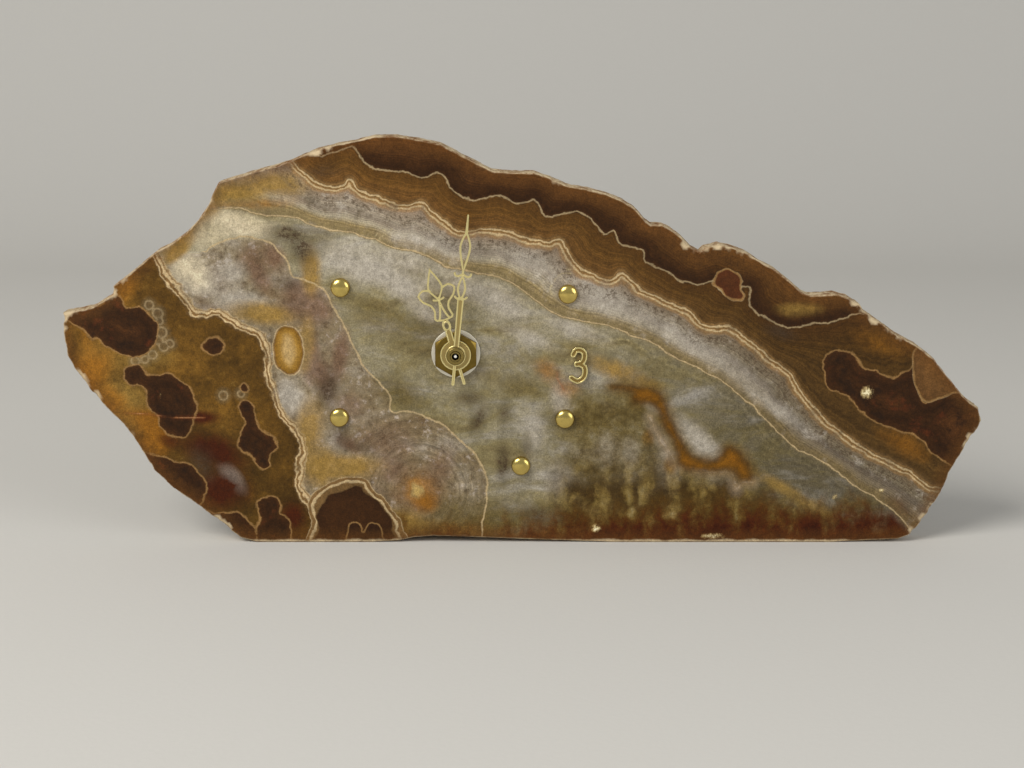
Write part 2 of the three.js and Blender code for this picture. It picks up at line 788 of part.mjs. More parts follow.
function settingKnob() {
  const front = caseRear + seatGap + fitGap;
  const rear = front + knobThickness;
  const radius = knobDiameter / 2;
  const points = [];
  for (let flute = 0; flute < knobFlutes; flute += 1) {
    const angle = (360 * flute) / knobFlutes;
    points.push(polar(centreAxis, radius, angle));
    points.push(polar(centreAxis, radius - knobFluteDepth, angle + 180 / knobFlutes));
  }
  const grip = brokenPlate(outline(points), front, knobThickness, turnedBreak);
  const dish = turned([
    [0, rear - knobDishDepth],
    [radius * knobDishFloor, rear - knobDishDepth],
    [radius * knobDishRim, rear + overshoot],
    [0, rear + overshoot],
  ], smallFacets);
  return grip.subtract(dish);
}

// The going train
function pivoted(pinion, wheel, radius, front) {
  const rear = coverInside + pivotDepth - seatGap;
  return join([pinion, wheel, pin(radius, front, rear, tinyFacets)]);
}

function centreWheel() {
  const bore = minutePipeRadius + fitGap;
  const wheel = gear(centreTeeth, centreModule, centrePhase, bore, centreWheelLevel, wheelThickness);
  const hubFront = caseInside + cannonLevel + pinionThickness + seatGap;
  const hubRear = caseInside + middlePlateLevel - runningGap;
  const hub = tube(bore, centreHubRadius, hubFront, hubRear, tinyFacets);
  return join([wheel, hub]);
}

function thirdWheel() {
  const bore = arborRadius * hiddenBore;
  const pinion = gear(thirdPinionTeeth, centreModule, thirdPinionPhase, bore, thirdPinionLevel,
    pinionThickness);
  const wheel = gear(thirdTeeth, thirdModule, 0, bore, thirdWheelLevel, wheelThickness);
  return pivoted(pinion, wheel, arborRadius, caseInside - pivotDepth + seatGap);
}

function secondWheel() {
  const bore = secondArborRadius * hiddenBore;
  const pinion = gear(secondPinionTeeth, thirdModule, secondPinionPhase, bore, secondPinionLevel,
    pinionThickness + secondPinionSpare);
  const wheel = gear(secondTeeth, secondModule, 0, bore, secondWheelLevel, wheelThickness);
  return pivoted(pinion, wheel, secondArborRadius, minutePipeFront + secondArborSunk);
}

function intermediateWheel() {
  const bore = arborRadius * hiddenBore;
  const pinion = gear(intermediatePinionTeeth, secondModule, intermediatePinionPhase, bore,
    intermediatePinionLevel, pinionThickness);
  const wheel = gear(intermediateTeeth, rotorModule, 0, bore, intermediateWheelLevel, wheelThickness);
  return pivoted(pinion, wheel, arborRadius, caseInside + middlePlateLevel + seatGap);
}

function rotorPinion() {
  const pinion = gear(rotorPinionTeeth, rotorModule, rotorPinionPhase, arborRadius * hiddenBore,
    rotorPinionLevel, pinionThickness);
  const rear = coverInside + pivotDepth - seatGap;
  return join([pinion, pin(arborRadius, caseInside + middlePlateLevel + seatGap, rear, tinyFacets)]);
}

function rotorMagnet() {
  const front = caseInside + rotorMagnetLevel;
  return tube(arborRadius + fitGap, magnetRadius, front, front + magnetThickness, smallFacets);
}

// The motor's stator, coil and circuit board
function statorPlate() {
  const [rotorX, rotorZ] = rotorAxis;
  const front = caseInside + statorLevel;
  const barFoot = rotorZ - statorBar * statorBarRise;
  const bars = [
    roundedRectangle(statorLeft, statorTop - statorBar, statorRight, statorTop, statorCorner),
    roundedRectangle(statorLeft, barFoot, statorLeft + statorBar, statorTop, statorCorner),
    roundedRectangle(statorRight - statorBar, barFoot, statorRight, statorTop, statorCorner),
    roundedRectangle(statorLeft, barFoot, rotorX, barFoot + statorBar, statorCorner),
    roundedRectangle(rotorX, barFoot, statorRight, barFoot + statorBar, statorCorner),
  ];
  const ring = moved(plate(disc(statorRing, midFacets), front, statorThickness), rotorAxis);
  const body = join([...bars.map((shape) => plate(shape, front, statorThickness)), ring]);
  const hole = drill(magnetRadius + statorAirGap, front, front + statorThickness, smallFacets);
  return cut(body, [moved(hole, [rotorX, rotorZ])]);
}

function coil() {
  const length = coilRight - coilLeft;
  const bobbin = turned([
    [0, 0],
    [coilRadius, 0],
    [coilRadius, coilFlange],
    [coilWinding, coilFlange],
    [coilWinding, length - coilFlange],
    [coilRadius, length - coilFlange],
    [coilRadius, length],
    [0, length],
  ], smallFacets).rotate([0, 0, -90]);
  const core = new THREE.BoxGeometry(length + 2, statorThickness + 2 * seatGap, statorBar + 2 * seatGap);
  core.translate(length / 2, 0, 0);
  const wound = bobbin.subtract(solid(core));
  const level = caseInside + statorLevel + statorThickness / 2;
  return wound.translate([coilLeft, level, statorTop - statorBar / 2]);
}

function circuitBoard() {
  const shape = roundedRectangle(boardLeft, boardFoot, boardRight, boardTop, boardCorner);
  return plate(shape, caseInside + boardLevel, boardThickness);
}

function quartzCrystal() {
  const radius = crystalDiameter / 2;
  const can = turned([
    [0, 0], [radius - turnedBreak, 0], [radius, turnedBreak], [radius, crystalLength - turnedBreak],
    [radius - turnedBreak, crystalLength], [0, crystalLength],
  ], smallFacets).rotate([90, 0, 0]);
  const level = caseInside + boardLevel + boardThickness + seatGap + radius;
  return can.translate([(boardLeft + boardRight) / 2, level, boardTop - crystalInset - crystalLength]);
}

// The case: a tray with the mechanism above and the battery bay below
function caseTray() {
  const outside = roundedRectangle(-halfCase, caseFloor, halfCase, caseHead, caseCorner);
  const shell = brokenPlate(outside, caseFront, caseDepth, caseEdgeBreak);
  const corner = caseCorner - caseWall;
  const chamber = roundedRectangle(-halfInside, chamberFloor, halfInside, chamberHead, corner);
  const bay = roundedRectangle(-halfInside, bayFloor, halfInside, bayTop, corner);
  const fingerHalf = fingerCutWidth / 2;
  const finger = roundedRectangle(-fingerHalf, caseFloor - caseDepth, fingerHalf, bayFloor + overshoot,
    fingerCutCorner);
  const tailSlots = [-1, 1].map((side) => {
    const [width, depth] = [contactThickness, contactTail].map((size) => size + 2 * seatGap);
    const slot = new THREE.BoxGeometry(width, depth, caseWall + 2 * caseCorner);
    const x = side * (halfInside - seatGap - contactThickness / 2);
    slot.translate(x, caseInside + caseDepth / 2, (bayTop + chamberFloor) / 2);
    return solid(slot);
  });
  const pivots = [[arborRadius, thirdAxis], [settingArborRadius, settingAxis]].map(([radius, axis]) => {
    const blindHole = pin(radius + fitGap, caseInside - pivotDepth, caseInside + overshoot, smallFacets);
    return moved(blindHole, axis);
  });
  const bushingHole = drill(bushingDiameter / 2 + fitGap, caseFront, caseInside, wideFacets);
  const hollow = cut(shell, [
    plate(chamber, caseInside, caseDepth),
    plate(bay, caseInside, caseDepth),
    plate(finger, caseRear - fingerCutDepth, fingerCutDepth + overshoot),
    ...tailSlots,
    ...pivots,
    bushingHole,
  ]);
  const postEnd = caseInside + middlePlateLevel - seatGap;
  const post = pin(platePostRadius, caseInside - rooted, postEnd, postFacets);
  const posts = platePosts.map((axis) => moved(post, axis));
  const wheelPostEnd = caseInside + motionWheelLevel + wheelThickness + runningGap;
  const wheelPost = pin(motionPostRadius, caseInside - rooted, wheelPostEnd, tinyFacets);
  return join([hollow, ...posts, moved(wheelPost, motionAxis)]);
}

function middlePlate() {
  const edge = halfInside - 2 * seatGap - contactThickness - seatGap;
  const shape = roundedRectangle(-edge, chamberFloor + seatGap, edge, middlePlateTop, plateCorner);
  const front = caseInside + middlePlateLevel;
  const rear = front + middlePlateThickness;
  const holes = [
    [secondArborRadius + seatGap, centreAxis],
    [arborRadius + seatGap, thirdAxis],
    [arborRadius + seatGap, intermediateAxis],
    [arborRadius + seatGap, rotorAxis],
    [settingArborRadius + seatGap, settingAxis],
  ].map(([radius, axis]) => moved(drill(radius, front, rear, tinyFacets), axis));
  const statorRests = [
    [statorLeft + statorBar / 2, rotorAxis[1] + statorBar / 2],
    [statorRight - statorBar / 2, rotorAxis[1] + statorBar / 2],
  ];
  const rest = (level) => pin(restRadius, rear - rooted, caseInside + level - seatGap, postFacets);
  const rests = [
    ...statorRests.map((axis) => moved(rest(statorLevel), axis)),
    ...boardPosts.map((axis) => moved(rest(boardLevel), axis)),
  ];
  return join([cut(plate(shape, front, middlePlateThickness), holes), ...rests]);
}

function rearCover() {
  const edge = halfInside - seatGap;
  const head = chamberHead - seatGap;
  const shape = roundedRectangle(-edge, chamberFloor + seatGap, edge, head, caseCorner - caseWall);
  const pivot = pin(arborRadius + fitGap, coverInside - overshoot, coverInside + pivotDepth, tinyFacets);
  const pivots = [centreAxis, thirdAxis, intermediateAxis, rotorAxis].map((axis) => moved(pivot, axis));
  const knobBore = drill(settingArborRadius + seatGap, coverInside, caseRear, smallFacets);
  return cut(plate(shape, coverInside, coverThickness), [...pivots, moved(knobBore, settingAxis)]);
}

// Battery and contacts, with the button end to the right
const buttonEnd = halfInside - seatGap - contactThickness - seatGap;

function batteryCell() {
  const radius = batteryDiameter / 2;
  const body = batteryLength - batteryNubLength;
  const cell = turned([
    [0, 0],
    [radius - batteryEndBreak, 0],
    [radius, batteryEndBreak],
    [radius, body - batteryEndBreak],
    [radius - batteryEndBreak, body],
    [batteryNubDiameter / 2, body],
    [batteryNubDiameter / 2, batteryLength - turnedBreak],
    [batteryNubDiameter / 2 - turnedBreak, batteryLength],
    [0, batteryLength],
  ], midFacets).rotate([0, 0, -90]);
  const depth = caseInside + seatGap + radius;
  return cell.translate([buttonEnd - batteryLength, depth, bayMiddle]);
}

function contactStrip(side) {
  const level = caseInside + caseDepth / 2;
  const blade = new THREE.BoxGeometry(contactThickness, contactWidth, contactHeight);
  const x = side * (halfInside - seatGap - contactThickness / 2);
  blade.translate(x, level, bayMiddle);
  const tailHeight = contactTailTop - bayMiddle;
  const tail = new THREE.BoxGeometry(contactThickness, contactTail, tailHeight);
  tail.translate(x, level, bayMiddle + tailHeight / 2);
  return join([solid(blade), solid(tail)]);
}

function contactNegative() {
  const gap = halfInside * 2 - 4 * seatGap - 2 * contactThickness - batteryLength;
  const spring = turned([
    [0, 0],
    ...springSteps.map(([across, out]) => [springRadius * across, gap * out]),
    [0, gap],
  ], tinyFacets).rotate([0, 0, -90]);
  const root = -halfInside + seatGap + contactThickness / 2;
  const level = caseInside + seatGap + batteryDiameter / 2;
  return join([contactStrip(-1), spring.translate([root, level, bayMiddle])]);
}

// Materials
function finish(color, roughness, metalness) {
  return new THREE.MeshStandardMaterial({ color, roughness, metalness });
}

const stone = () => finish('#8a7565', 0.18, 0);
const brass = () => finish('#c9a24d', 0.28, 1);
const agedBrass = () => finish('#a98342', 0.38, 1);
const nickel = () => finish('#b9b6b0', 0.35, 1);
const steel = () => finish('#9c9ca0', 0.35, 1);
const blackPlastic = () => finish('#1b1b1d', 0.5, 0);
const whitePlastic = () => finish('#e8e6df', 0.45, 0);
const rubber = () => finish('#202020', 0.85, 0);
const copper = () => finish('#a8552b', 0.4, 1);
const board = () => finish('#1f5a34', 0.55, 0);

// Assembly
const clock = new THREE.Group();

function place(name, body, material, axis = [0, 0], base = 0) {
  const mesh = new THREE.Mesh(geometryOf(body), material);
  mesh.name = name;
  mesh.position.set(axis[0], 0, base + axis[1]);
  clock.add(mesh);
  return mesh;
}

place('agate_slab', agateSlab(), stone());
place('back_foot', backFoot(), stone());
for (const stud of studs) {
  place(`hour_stud_${stud.hour}`, hourStud(), brass(), studPosition(stud), dialHeight);
}
const numeralPlace = polar(centreAxis, numeralRadius, 90 - numeralAngle);
place('numeral_3', numeralThree(), brass(), numeralPlace, dialHeight);
place('dial_washer', dialWasher(), nickel(), centreAxis, dialHeight);
place('hex_nut', hexNut(), brass(), centreAxis, dialHeight);
place('centre_bushing', centreBushing(), agedBrass(), centreAxis, dialHeight);
place('rubber_gasket', rubberGasket(), rubber(), centreAxis, dialHeight);
place('hour_hand', hourHand(), brass(), centreAxis, dialHeight);
place('hour_wheel', hourWheel(), agedBrass(), centreAxis, dialHeight);
place('minute_hand', minuteHand(), brass(), centreAxis, dialHeight);
place('minute_nut', minuteNut(), brass(), centreAxis, dialHeight);
place('minute_arbor', minuteArbor(), agedBrass(), centreAxis, dialHeight);
place('centre_wheel', centreWheel(), whitePlastic(), centreAxis, dialHeight);
place('motion_wheel', motionWheel(), whitePlastic(), motionAxis, dialHeight);
place('third_wheel', thirdWheel(), whitePlastic(), thirdAxis, dialHeight);
place('second_wheel', secondWheel(), whitePlastic(), centreAxis, dialHeight);
place('intermediate_wheel', intermediateWheel(), whitePlastic(), intermediateAxis, dialHeight);
place('rotor_pinion', rotorPinion(), whitePlastic(), rotorAxis, dialHeight);
place('rotor_magnet', rotorMagnet(), steel(), rotorAxis, dialHeight);
place('setting_pinion', settingPinion(), blackPlastic(), settingAxis, dialHeight);
place('setting_knob', settingKnob(), blackPlastic(), settingAxis, dialHeight);
place('stator_plate', statorPlate(), steel(), centreAxis, dialHeight);
place('coil', coil(), copper(), centreAxis, dialHeight);
place('circuit_board', circuitBoard(), board(), centreAxis, dialHeight);
place('quartz_crystal', quartzCrystal(), nickel(), centreAxis, dialHeight);
place('case_tray', caseTray(), blackPlastic(), centreAxis, dialHeight);
place('middle_plate', middlePlate(), blackPlastic(), centreAxis, dialHeight);
place('rear_cover', rearCover(), blackPlastic(), centreAxis, dialHeight);
place('contact_positive', contactStrip(1), nickel(), centreAxis, dialHeight);
place('contact_negative', contactNegative(), nickel(), centreAxis, dialHeight);
place('battery_cell', batteryCell(), steel(), centreAxis, dialHeight);

// The origin goes under the middle of the whole clock
const across = slabOutline.map(([x]) => x);
const middleX = (Math.min(...across) + Math.max(...across)) / 2;
const middleY = (minutePipeFront + slabBack + seatGap + footDepth) / 2;
clock.position.set(-middleX, -middleY, 0);

const part = new THREE.Group();
part.add(clock);

export default part;
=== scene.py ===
"""Agate slab clock: finishes, fine shapes, floor, light and camera round the clock's solids."""
import math

import bmesh
import bpy
import numpy as np
from mathutils import Matrix, Vector, noise
from mathutils.geometry import delaunay_2d_cdt


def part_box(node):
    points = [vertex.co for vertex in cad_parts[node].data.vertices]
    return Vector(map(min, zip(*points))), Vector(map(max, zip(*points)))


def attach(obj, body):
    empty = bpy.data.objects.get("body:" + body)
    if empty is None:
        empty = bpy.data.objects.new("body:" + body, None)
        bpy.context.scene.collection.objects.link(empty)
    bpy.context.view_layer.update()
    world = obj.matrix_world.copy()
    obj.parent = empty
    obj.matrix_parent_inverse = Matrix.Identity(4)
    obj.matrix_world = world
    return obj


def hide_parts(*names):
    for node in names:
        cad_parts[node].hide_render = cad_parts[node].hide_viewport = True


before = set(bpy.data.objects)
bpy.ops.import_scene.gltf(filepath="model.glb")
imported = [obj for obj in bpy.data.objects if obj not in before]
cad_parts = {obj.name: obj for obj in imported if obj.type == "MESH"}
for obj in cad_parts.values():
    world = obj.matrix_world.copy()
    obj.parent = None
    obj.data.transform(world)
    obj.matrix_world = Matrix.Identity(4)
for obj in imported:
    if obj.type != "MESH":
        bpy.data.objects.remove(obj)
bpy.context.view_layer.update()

bl_info = {
    "name": "Agate Slab Clock",
    "version": (1, 0, 0),
    "blender": (4, 5, 0),
    "location": "3D View > Sidebar > Agate Clock",
    "description": "Dresses the agate slab clock in banded stone, brass, nickel and plastic",
    "category": "Object",
}

# One millimetre, in Blender's metres
MM = 0.001

# Faces and axes that the fittings share, read from the solids
SLAB_LOW, SLAB_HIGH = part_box("agate_slab")
WASHER_LOW, WASHER_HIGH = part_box("dial_washer")
DIAL = Vector(((WASHER_LOW.x + WASHER_HIGH.x) / 2, SLAB_LOW.y, (WASHER_LOW.z + WASHER_HIGH.z) / 2))

# Radius of the hole drilled through the slab, and how far round it no point belongs to the outline
HOLE_RADIUS = 4.75 * MM
HOLE_CLEAR = 6 * MM

# Distance between the points of a coined front
COIN_SPACING = 0.14 * MM


# Small helpers

def linear(code):
    """Linear red, green, blue and full alpha for an sRGB hex colour."""
    levels = [int(code[i:i + 2], 16) / 255 for i in (1, 3, 5)]
    return tuple(c / 12.92 if c <= 0.04045 else ((c + 0.055) / 1.055) ** 2.4 for c in levels) + (1.0,)


def hue(name, description, code):
    """A colour that the user may change, with its default as an sRGB hex colour."""
    return bpy.props.FloatVectorProperty(
        name=name, description=description, default=linear(code), size=4, subtype="COLOR", min=0, max=1
    )


def length(name, description, millimetres, low=0.0, high=1000.0):
    """A length that the user may change, given in millimetres."""
    return bpy.props.FloatProperty(
        name=name, description=description, default=millimetres * MM, min=low * MM, max=high * MM,
        subtype="DISTANCE", unit="LENGTH", precision=5
    )


def share(name, description, value, high=1.0):
    """A plain factor that the user may change."""
    return bpy.props.FloatProperty(
        name=name, description=description, default=value, min=0.0, max=high, subtype="FACTOR"
    )


def add(tree, kind, inputs=(), stops=(), **settings):
    """Adds one node with its settings, ramp stops, values and links, and returns its outputs."""
    made = tree.nodes.new(kind)
    for name, value in settings.items():
        setattr(made, name, value)
    for index, (place, colour) in enumerate(stops):
        ramp = made.color_ramp.elements
        point = ramp[index] if index < 2 else ramp.new(place)
        point.position, point.color = place, colour
    for key, value in dict(inputs).items():
        if isinstance(value, bpy.types.NodeSocket):
            tree.links.new(value, made.inputs[key])
        else:
            made.inputs[key].default_value = value
    count = len(tree.nodes)
    made.location = (220 * (count // 8), -260 * (count % 8))
    return made.outputs


def weighted(tree, start, *parts):
    """A starting number plus each value times its weight."""
    total = start
    for value, weight in parts:
        total = add(tree, "ShaderNodeMath", {0: value, 1: weight, 2: total}, operation="MULTIPLY_ADD")[0]
    return total


def lay(tree, colour, value, stops, mask=1.0, kind="MIX"):
    """Lays colours over a colour, as a value passes through stops of (value, colour, cover)."""
    low, high = stops[0][0], stops[-1][0]
    reach = add(tree, "ShaderNodeMapRange", {0: value, 1: low, 2: high})[0]
    places = [((at - low) / (high - low), (*shade(tint), cover)) for at, tint, cover in stops]
    ramp = add(tree, "ShaderNodeValToRGB", {0: reach}, stops=places)
    cover = add(tree, "ShaderNodeMath", {0: ramp["Alpha"], 1: mask}, operation="MULTIPLY")[0]
    layers = {0: cover, 6: colour, 7: ramp["Color"]}
    return add(tree, "ShaderNodeMix", layers, data_type="RGBA", blend_type=kind)[2]


def shade(colour, factor=1.0):
    """Red, green and blue of a colour, linear or as sRGB hex, made lighter or darker by a factor."""
    levels = linear(colour) if isinstance(colour, str) else colour
    return tuple(min(part * factor, 1) for part in tuple(levels)[:3])


def blank_material(name):
    """A node material with nothing in it yet."""
    made = bpy.data.materials.new(name)
    made.use_nodes = True
    made.node_tree.nodes.clear()
    return made, made.node_tree


def object_millimetres(tree):
    """Place on the object, in millimetres."""
    place = add(tree, "ShaderNodeTexCoord")["Object"]
    return add(tree, "ShaderNodeVectorMath", {0: place, "Scale": 1 / MM}, operation="SCALE")["Vector"]


def new_object(name, data):
    """An object at the origin that holds a mesh, a lamp or a camera."""
    made = bpy.data.objects.new(name, data)
    bpy.context.scene.collection.objects.link(made)
    return made


def finish_piece(piece, material, body, slot, *nodes):
    """Gives a piece its material and body, and hides the solids that it stands for; the slot is not used."""
    piece.data.materials.clear()
    piece.data.materials.append(material)
    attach(piece, body)
    if nodes:
        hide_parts(*nodes)
    return piece


def dress(material, *nodes):
    """Gives solids that keep their shape a better material."""
    for node in nodes:
        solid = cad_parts[node]
        solid.data.materials.clear()
        solid.data.materials.append(material)


def smooth_mesh(bm, name, angle=35.0):
    """Turns a bmesh into a mesh with smooth faces and sharp edges above an angle in degrees."""
    mesh = bpy.data.meshes.new(name)
    bm.to_mesh(mesh)
    bm.free()
    mesh.shade_smooth()
    mesh.set_sharp_from_angle(angle=math.radians(angle))
    return mesh


def merged_copy(node):
    """A bmesh of a solid with its loose triangles joined."""
    bm = bmesh.new()
    bm.from_mesh(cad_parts[node].data)
    bmesh.ops.remove_doubles(bm, verts=bm.verts, dist=0.002 * MM)
    bmesh.ops.dissolve_limit(
        bm, angle_limit=math.radians(0.5), verts=bm.verts, edges=bm.edges, delimit={"NORMAL"}
    )
    return bm


def mark_channel(piece, is_sunk):
    """Marks the points of a piece where no cloth reaches, for the tarnish of its material; on the numeral its
    sides are marked too, and there the film is painted shade.
    """
    channel = piece.data.attributes.new("channel", "FLOAT", "POINT")
    for vertex, part in zip(piece.data.vertices, channel.data):
        part.value = float(is_sunk(vertex.co))


def front_loops(bm):
    """The flat front faces of a bmesh, and their outlines as loops of points."""
    front = min(v.co.y for v in bm.verts)
    faces = {f for f in bm.faces if f.normal.y < -0.99 and f.calc_center_median().y < front + 0.01 * MM}
    ahead = {}
    for face in faces:
        for corner in face.loops:
            if sum(other in faces for other in corner.edge.link_faces) == 1:
                ahead[corner.vert] = corner.link_loop_next.vert
    loops = []
    while ahead:
        start, here = ahead.popitem()
        loop = [start]
        while here is not start:
            loop.append(here)
            here = ahead.pop(here)
        loops.append(loop)
    return list(faces), loops


def coined(piece, rim, depth, spacing):
    """Sinks the middle of a piece's front, so that a raised rim is left along every outline."""
    depsgraph = bpy.context.evaluated_depsgraph_get()
    bm = bmesh.new()
    bm.from_mesh(bpy.data.meshes.new_from_object(piece.evaluated_get(depsgraph)))
    piece.modifiers.clear()
    channel = bm.verts.layers.float.new("channel")
    faces, loops = front_loops(bm)
    front = loops[0][0].co.y
    outlines = [np.array([(v.co.x, v.co.z) for v in loop]) for loop in loops]
    inner, triangles = fill_face(outlines, spacing)
    away = np.min([distance_to(inner, outline, True) for outline in outlines], 0)
    sunk = soft_step(away, rim, rim + 1.5 * spacing)
    bmesh.ops.delete(bm, geom=faces, context="FACES_KEEP_BOUNDARY")
    points = [v for loop in loops for v in loop]
    for (x, z), part in zip(inner, sunk):
        points.append(bm.verts.new((x, front + depth * part, z)))
        points[-1][channel] = part
    for triangle in triangles:
        bm.faces.new([points[i] for i in triangle])
    return smooth_mesh(bm, piece.name, 40)


def softened(node, name, width, material, body, slot, segments=2, angle=30.0, rim=0.0, depth=0.0):
    """A copy of a solid with its sharp edges rounded, and its front coined where a rim is asked for."""
    piece = new_object(name, smooth_mesh(merged_copy(node), name, angle))
    edge = piece.modifiers.new("Edge break", "BEVEL")
    edge.width, edge.segments = width, segments
    edge.limit_method, edge.angle_limit = "ANGLE", math.radians(angle)
    edge.harden_normals = not rim
    if rim:
        piece.data = coined(piece, rim, depth, COIN_SPACING)
    return finish_piece(piece, material, body, slot, node)


# Pattern of the stone
# The lines and spots of the polished face, drawn from the dial axis:
# millimetres to the right of it, and millimetres above the table.

CREAM_BAND = [
    (-50.5, 121), (-49, 120), (-45, 116), (-39.5, 112.5), (-34, 113), (-32, 114.5), (-30.5, 112),
    (-27.5, 110.5), (-20.5, 108), (-14.5, 106.5), (-10, 107.5), (-7.5, 105), (-5, 103), (1.5, 99),
    (7.5, 99), (13.5, 99), (20, 97), (27, 95.5), (32, 96), (33.5, 94), (34.5, 91.5), (39, 86.5),
    (45.5, 84), (49, 84), (51.5, 85.5), (56.5, 81), (65, 77), (72, 74), (76, 69.5), (81, 69),
    (84.5, 69), (91, 64.5), (97, 59), (103, 55), (106.5, 49.5), (113, 41.5), (119.5, 36),
    (125.5, 31.5), (133, 27.5), (141, 23.5), (148, 18.5), (153, 17),
]
RIM_LINE = [
    (-44, 124), (-41, 121.5), (-37.5, 123), (-34, 124), (-31, 124.5), (-29, 122), (-26.5, 119.5),
    (-22.5, 118), (-16, 117.5), (-12, 116), (-9, 116), (-7, 117), (-4, 117), (-2.5, 115.5), (-2, 113),
    (0, 110.5), (3.5, 109), (8, 109), (13, 110), (17, 108.5), (20, 107.5), (24, 108.5), (25.5, 106.5),
    (27, 104.5), (29, 103.5), (33, 104.5), (38, 104.5), (43, 101.5), (45, 99.5), (46, 98), (48.5, 99),
    (50, 95.5), (53.5, 94.5), (57.5, 93.5), (58, 90.5), (60.5, 89), (65.5, 86.5), (69.5, 83.5),
    (75, 82.5), (79, 83.5), (81, 81), (85, 78.5), (88.5, 79), (88, 81.5), (90.5, 81.5), (90.5, 77.5),
    (92.5, 74), (96.5, 71.5), (102, 69.5), (109, 70), (116.5, 71), (120, 72.5), (125, 73.5),
]
SMOKE_LINE = [
    (-72, 106), (-64.5, 106), (-59, 104), (-50, 103.5), (-42.5, 100.5), (-30.5, 98), (-24, 96.5),
    (-20, 94), (-11, 92.5), (-3.5, 88.5), (1.5, 87.5), (7, 86), (13.5, 85), (20, 81), (27, 76),
    (33, 72.5), (38.5, 71), (45.5, 70), (55, 66.5), (61, 64), (67, 60), (73.5, 57), (79.5, 54),
    (86, 49.5), (92, 44.5), (98.5, 38), (105, 31.5), (111.5, 28), (119, 23.5), (126, 18),
    (133.5, 13.5), (139, 9), (145, 2.5),
]
LEFT_BAND = [
    (-92.5, 92.5), (-90.5, 88.5), (-88, 83.5), (-85, 80), (-82.5, 76), (-80.5, 73.5), (-77, 73.5),
    (-73.5, 73.5), (-69.5, 71), (-66.5, 69), (-63.5, 68), (-61, 67.5), (-59.5, 64), (-58.5, 61.5),
    (-59, 58), (-59.5, 55.5), (-57.5, 51), (-56.5, 47), (-55, 43), (-53.5, 40), (-51, 37), (-49, 34),
    (-48.5, 30), (-49, 26.5), (-50, 23), (-50, 19.5), (-49, 16.5), (-47, 13), (-45, 9.5), (-44.5, 5.5),
    (-45, 0.5),
]
PINK_LINE = [
    (-76.5, 92.5), (-75, 94), (-71, 96), (-66, 97), (-62, 97), (-59, 96.5), (-56, 95), (-54.5, 93),
    (-52.5, 91), (-51.5, 89), (-50, 85), (-47.5, 84.5), (-45, 83.5), (-41.5, 81.5), (-40, 80),
    (-37, 74), (-35, 71), (-33.5, 67.5), (-30.5, 60.5), (-28, 56.5), (-25.5, 53), (-21.5, 49),
    (-20.5, 46), (-20.5, 43), (-19, 42), (-17, 42.5), (-13, 42), (-9, 40.5), (-5, 38.5), (-1, 35.5),
    (2, 32.5), (5, 29.5), (7, 26.5), (9, 23), (9.5, 19.5), (9.5, 15), (9, 11), (8, 6.5), (7.5, 0.5),
]
CAVE_RING = [
    (-45, -3), (-45, 7.5), (-46, 11), (-45.5, 14), (-42, 17.5), (-37, 20), (-33, 20.5), (-29, 20),
    (-27.5, 18), (-26, 16), (-24, 14.5), (-22, 12), (-20.5, 9.5), (-18.5, 7), (-18, 4), (-18, -3),
]
CAVE_HEART = [
    (-44, -3), (-44, 5), (-44.5, 9), (-43, 12), (-40.5, 15), (-36.5, 16.5), (-33, 18.5), (-30, 18.5),
    (-28, 16), (-25, 14), (-22.5, 10.5), (-20.5, 7.5), (-20, 4), (-19.5, -3),
]
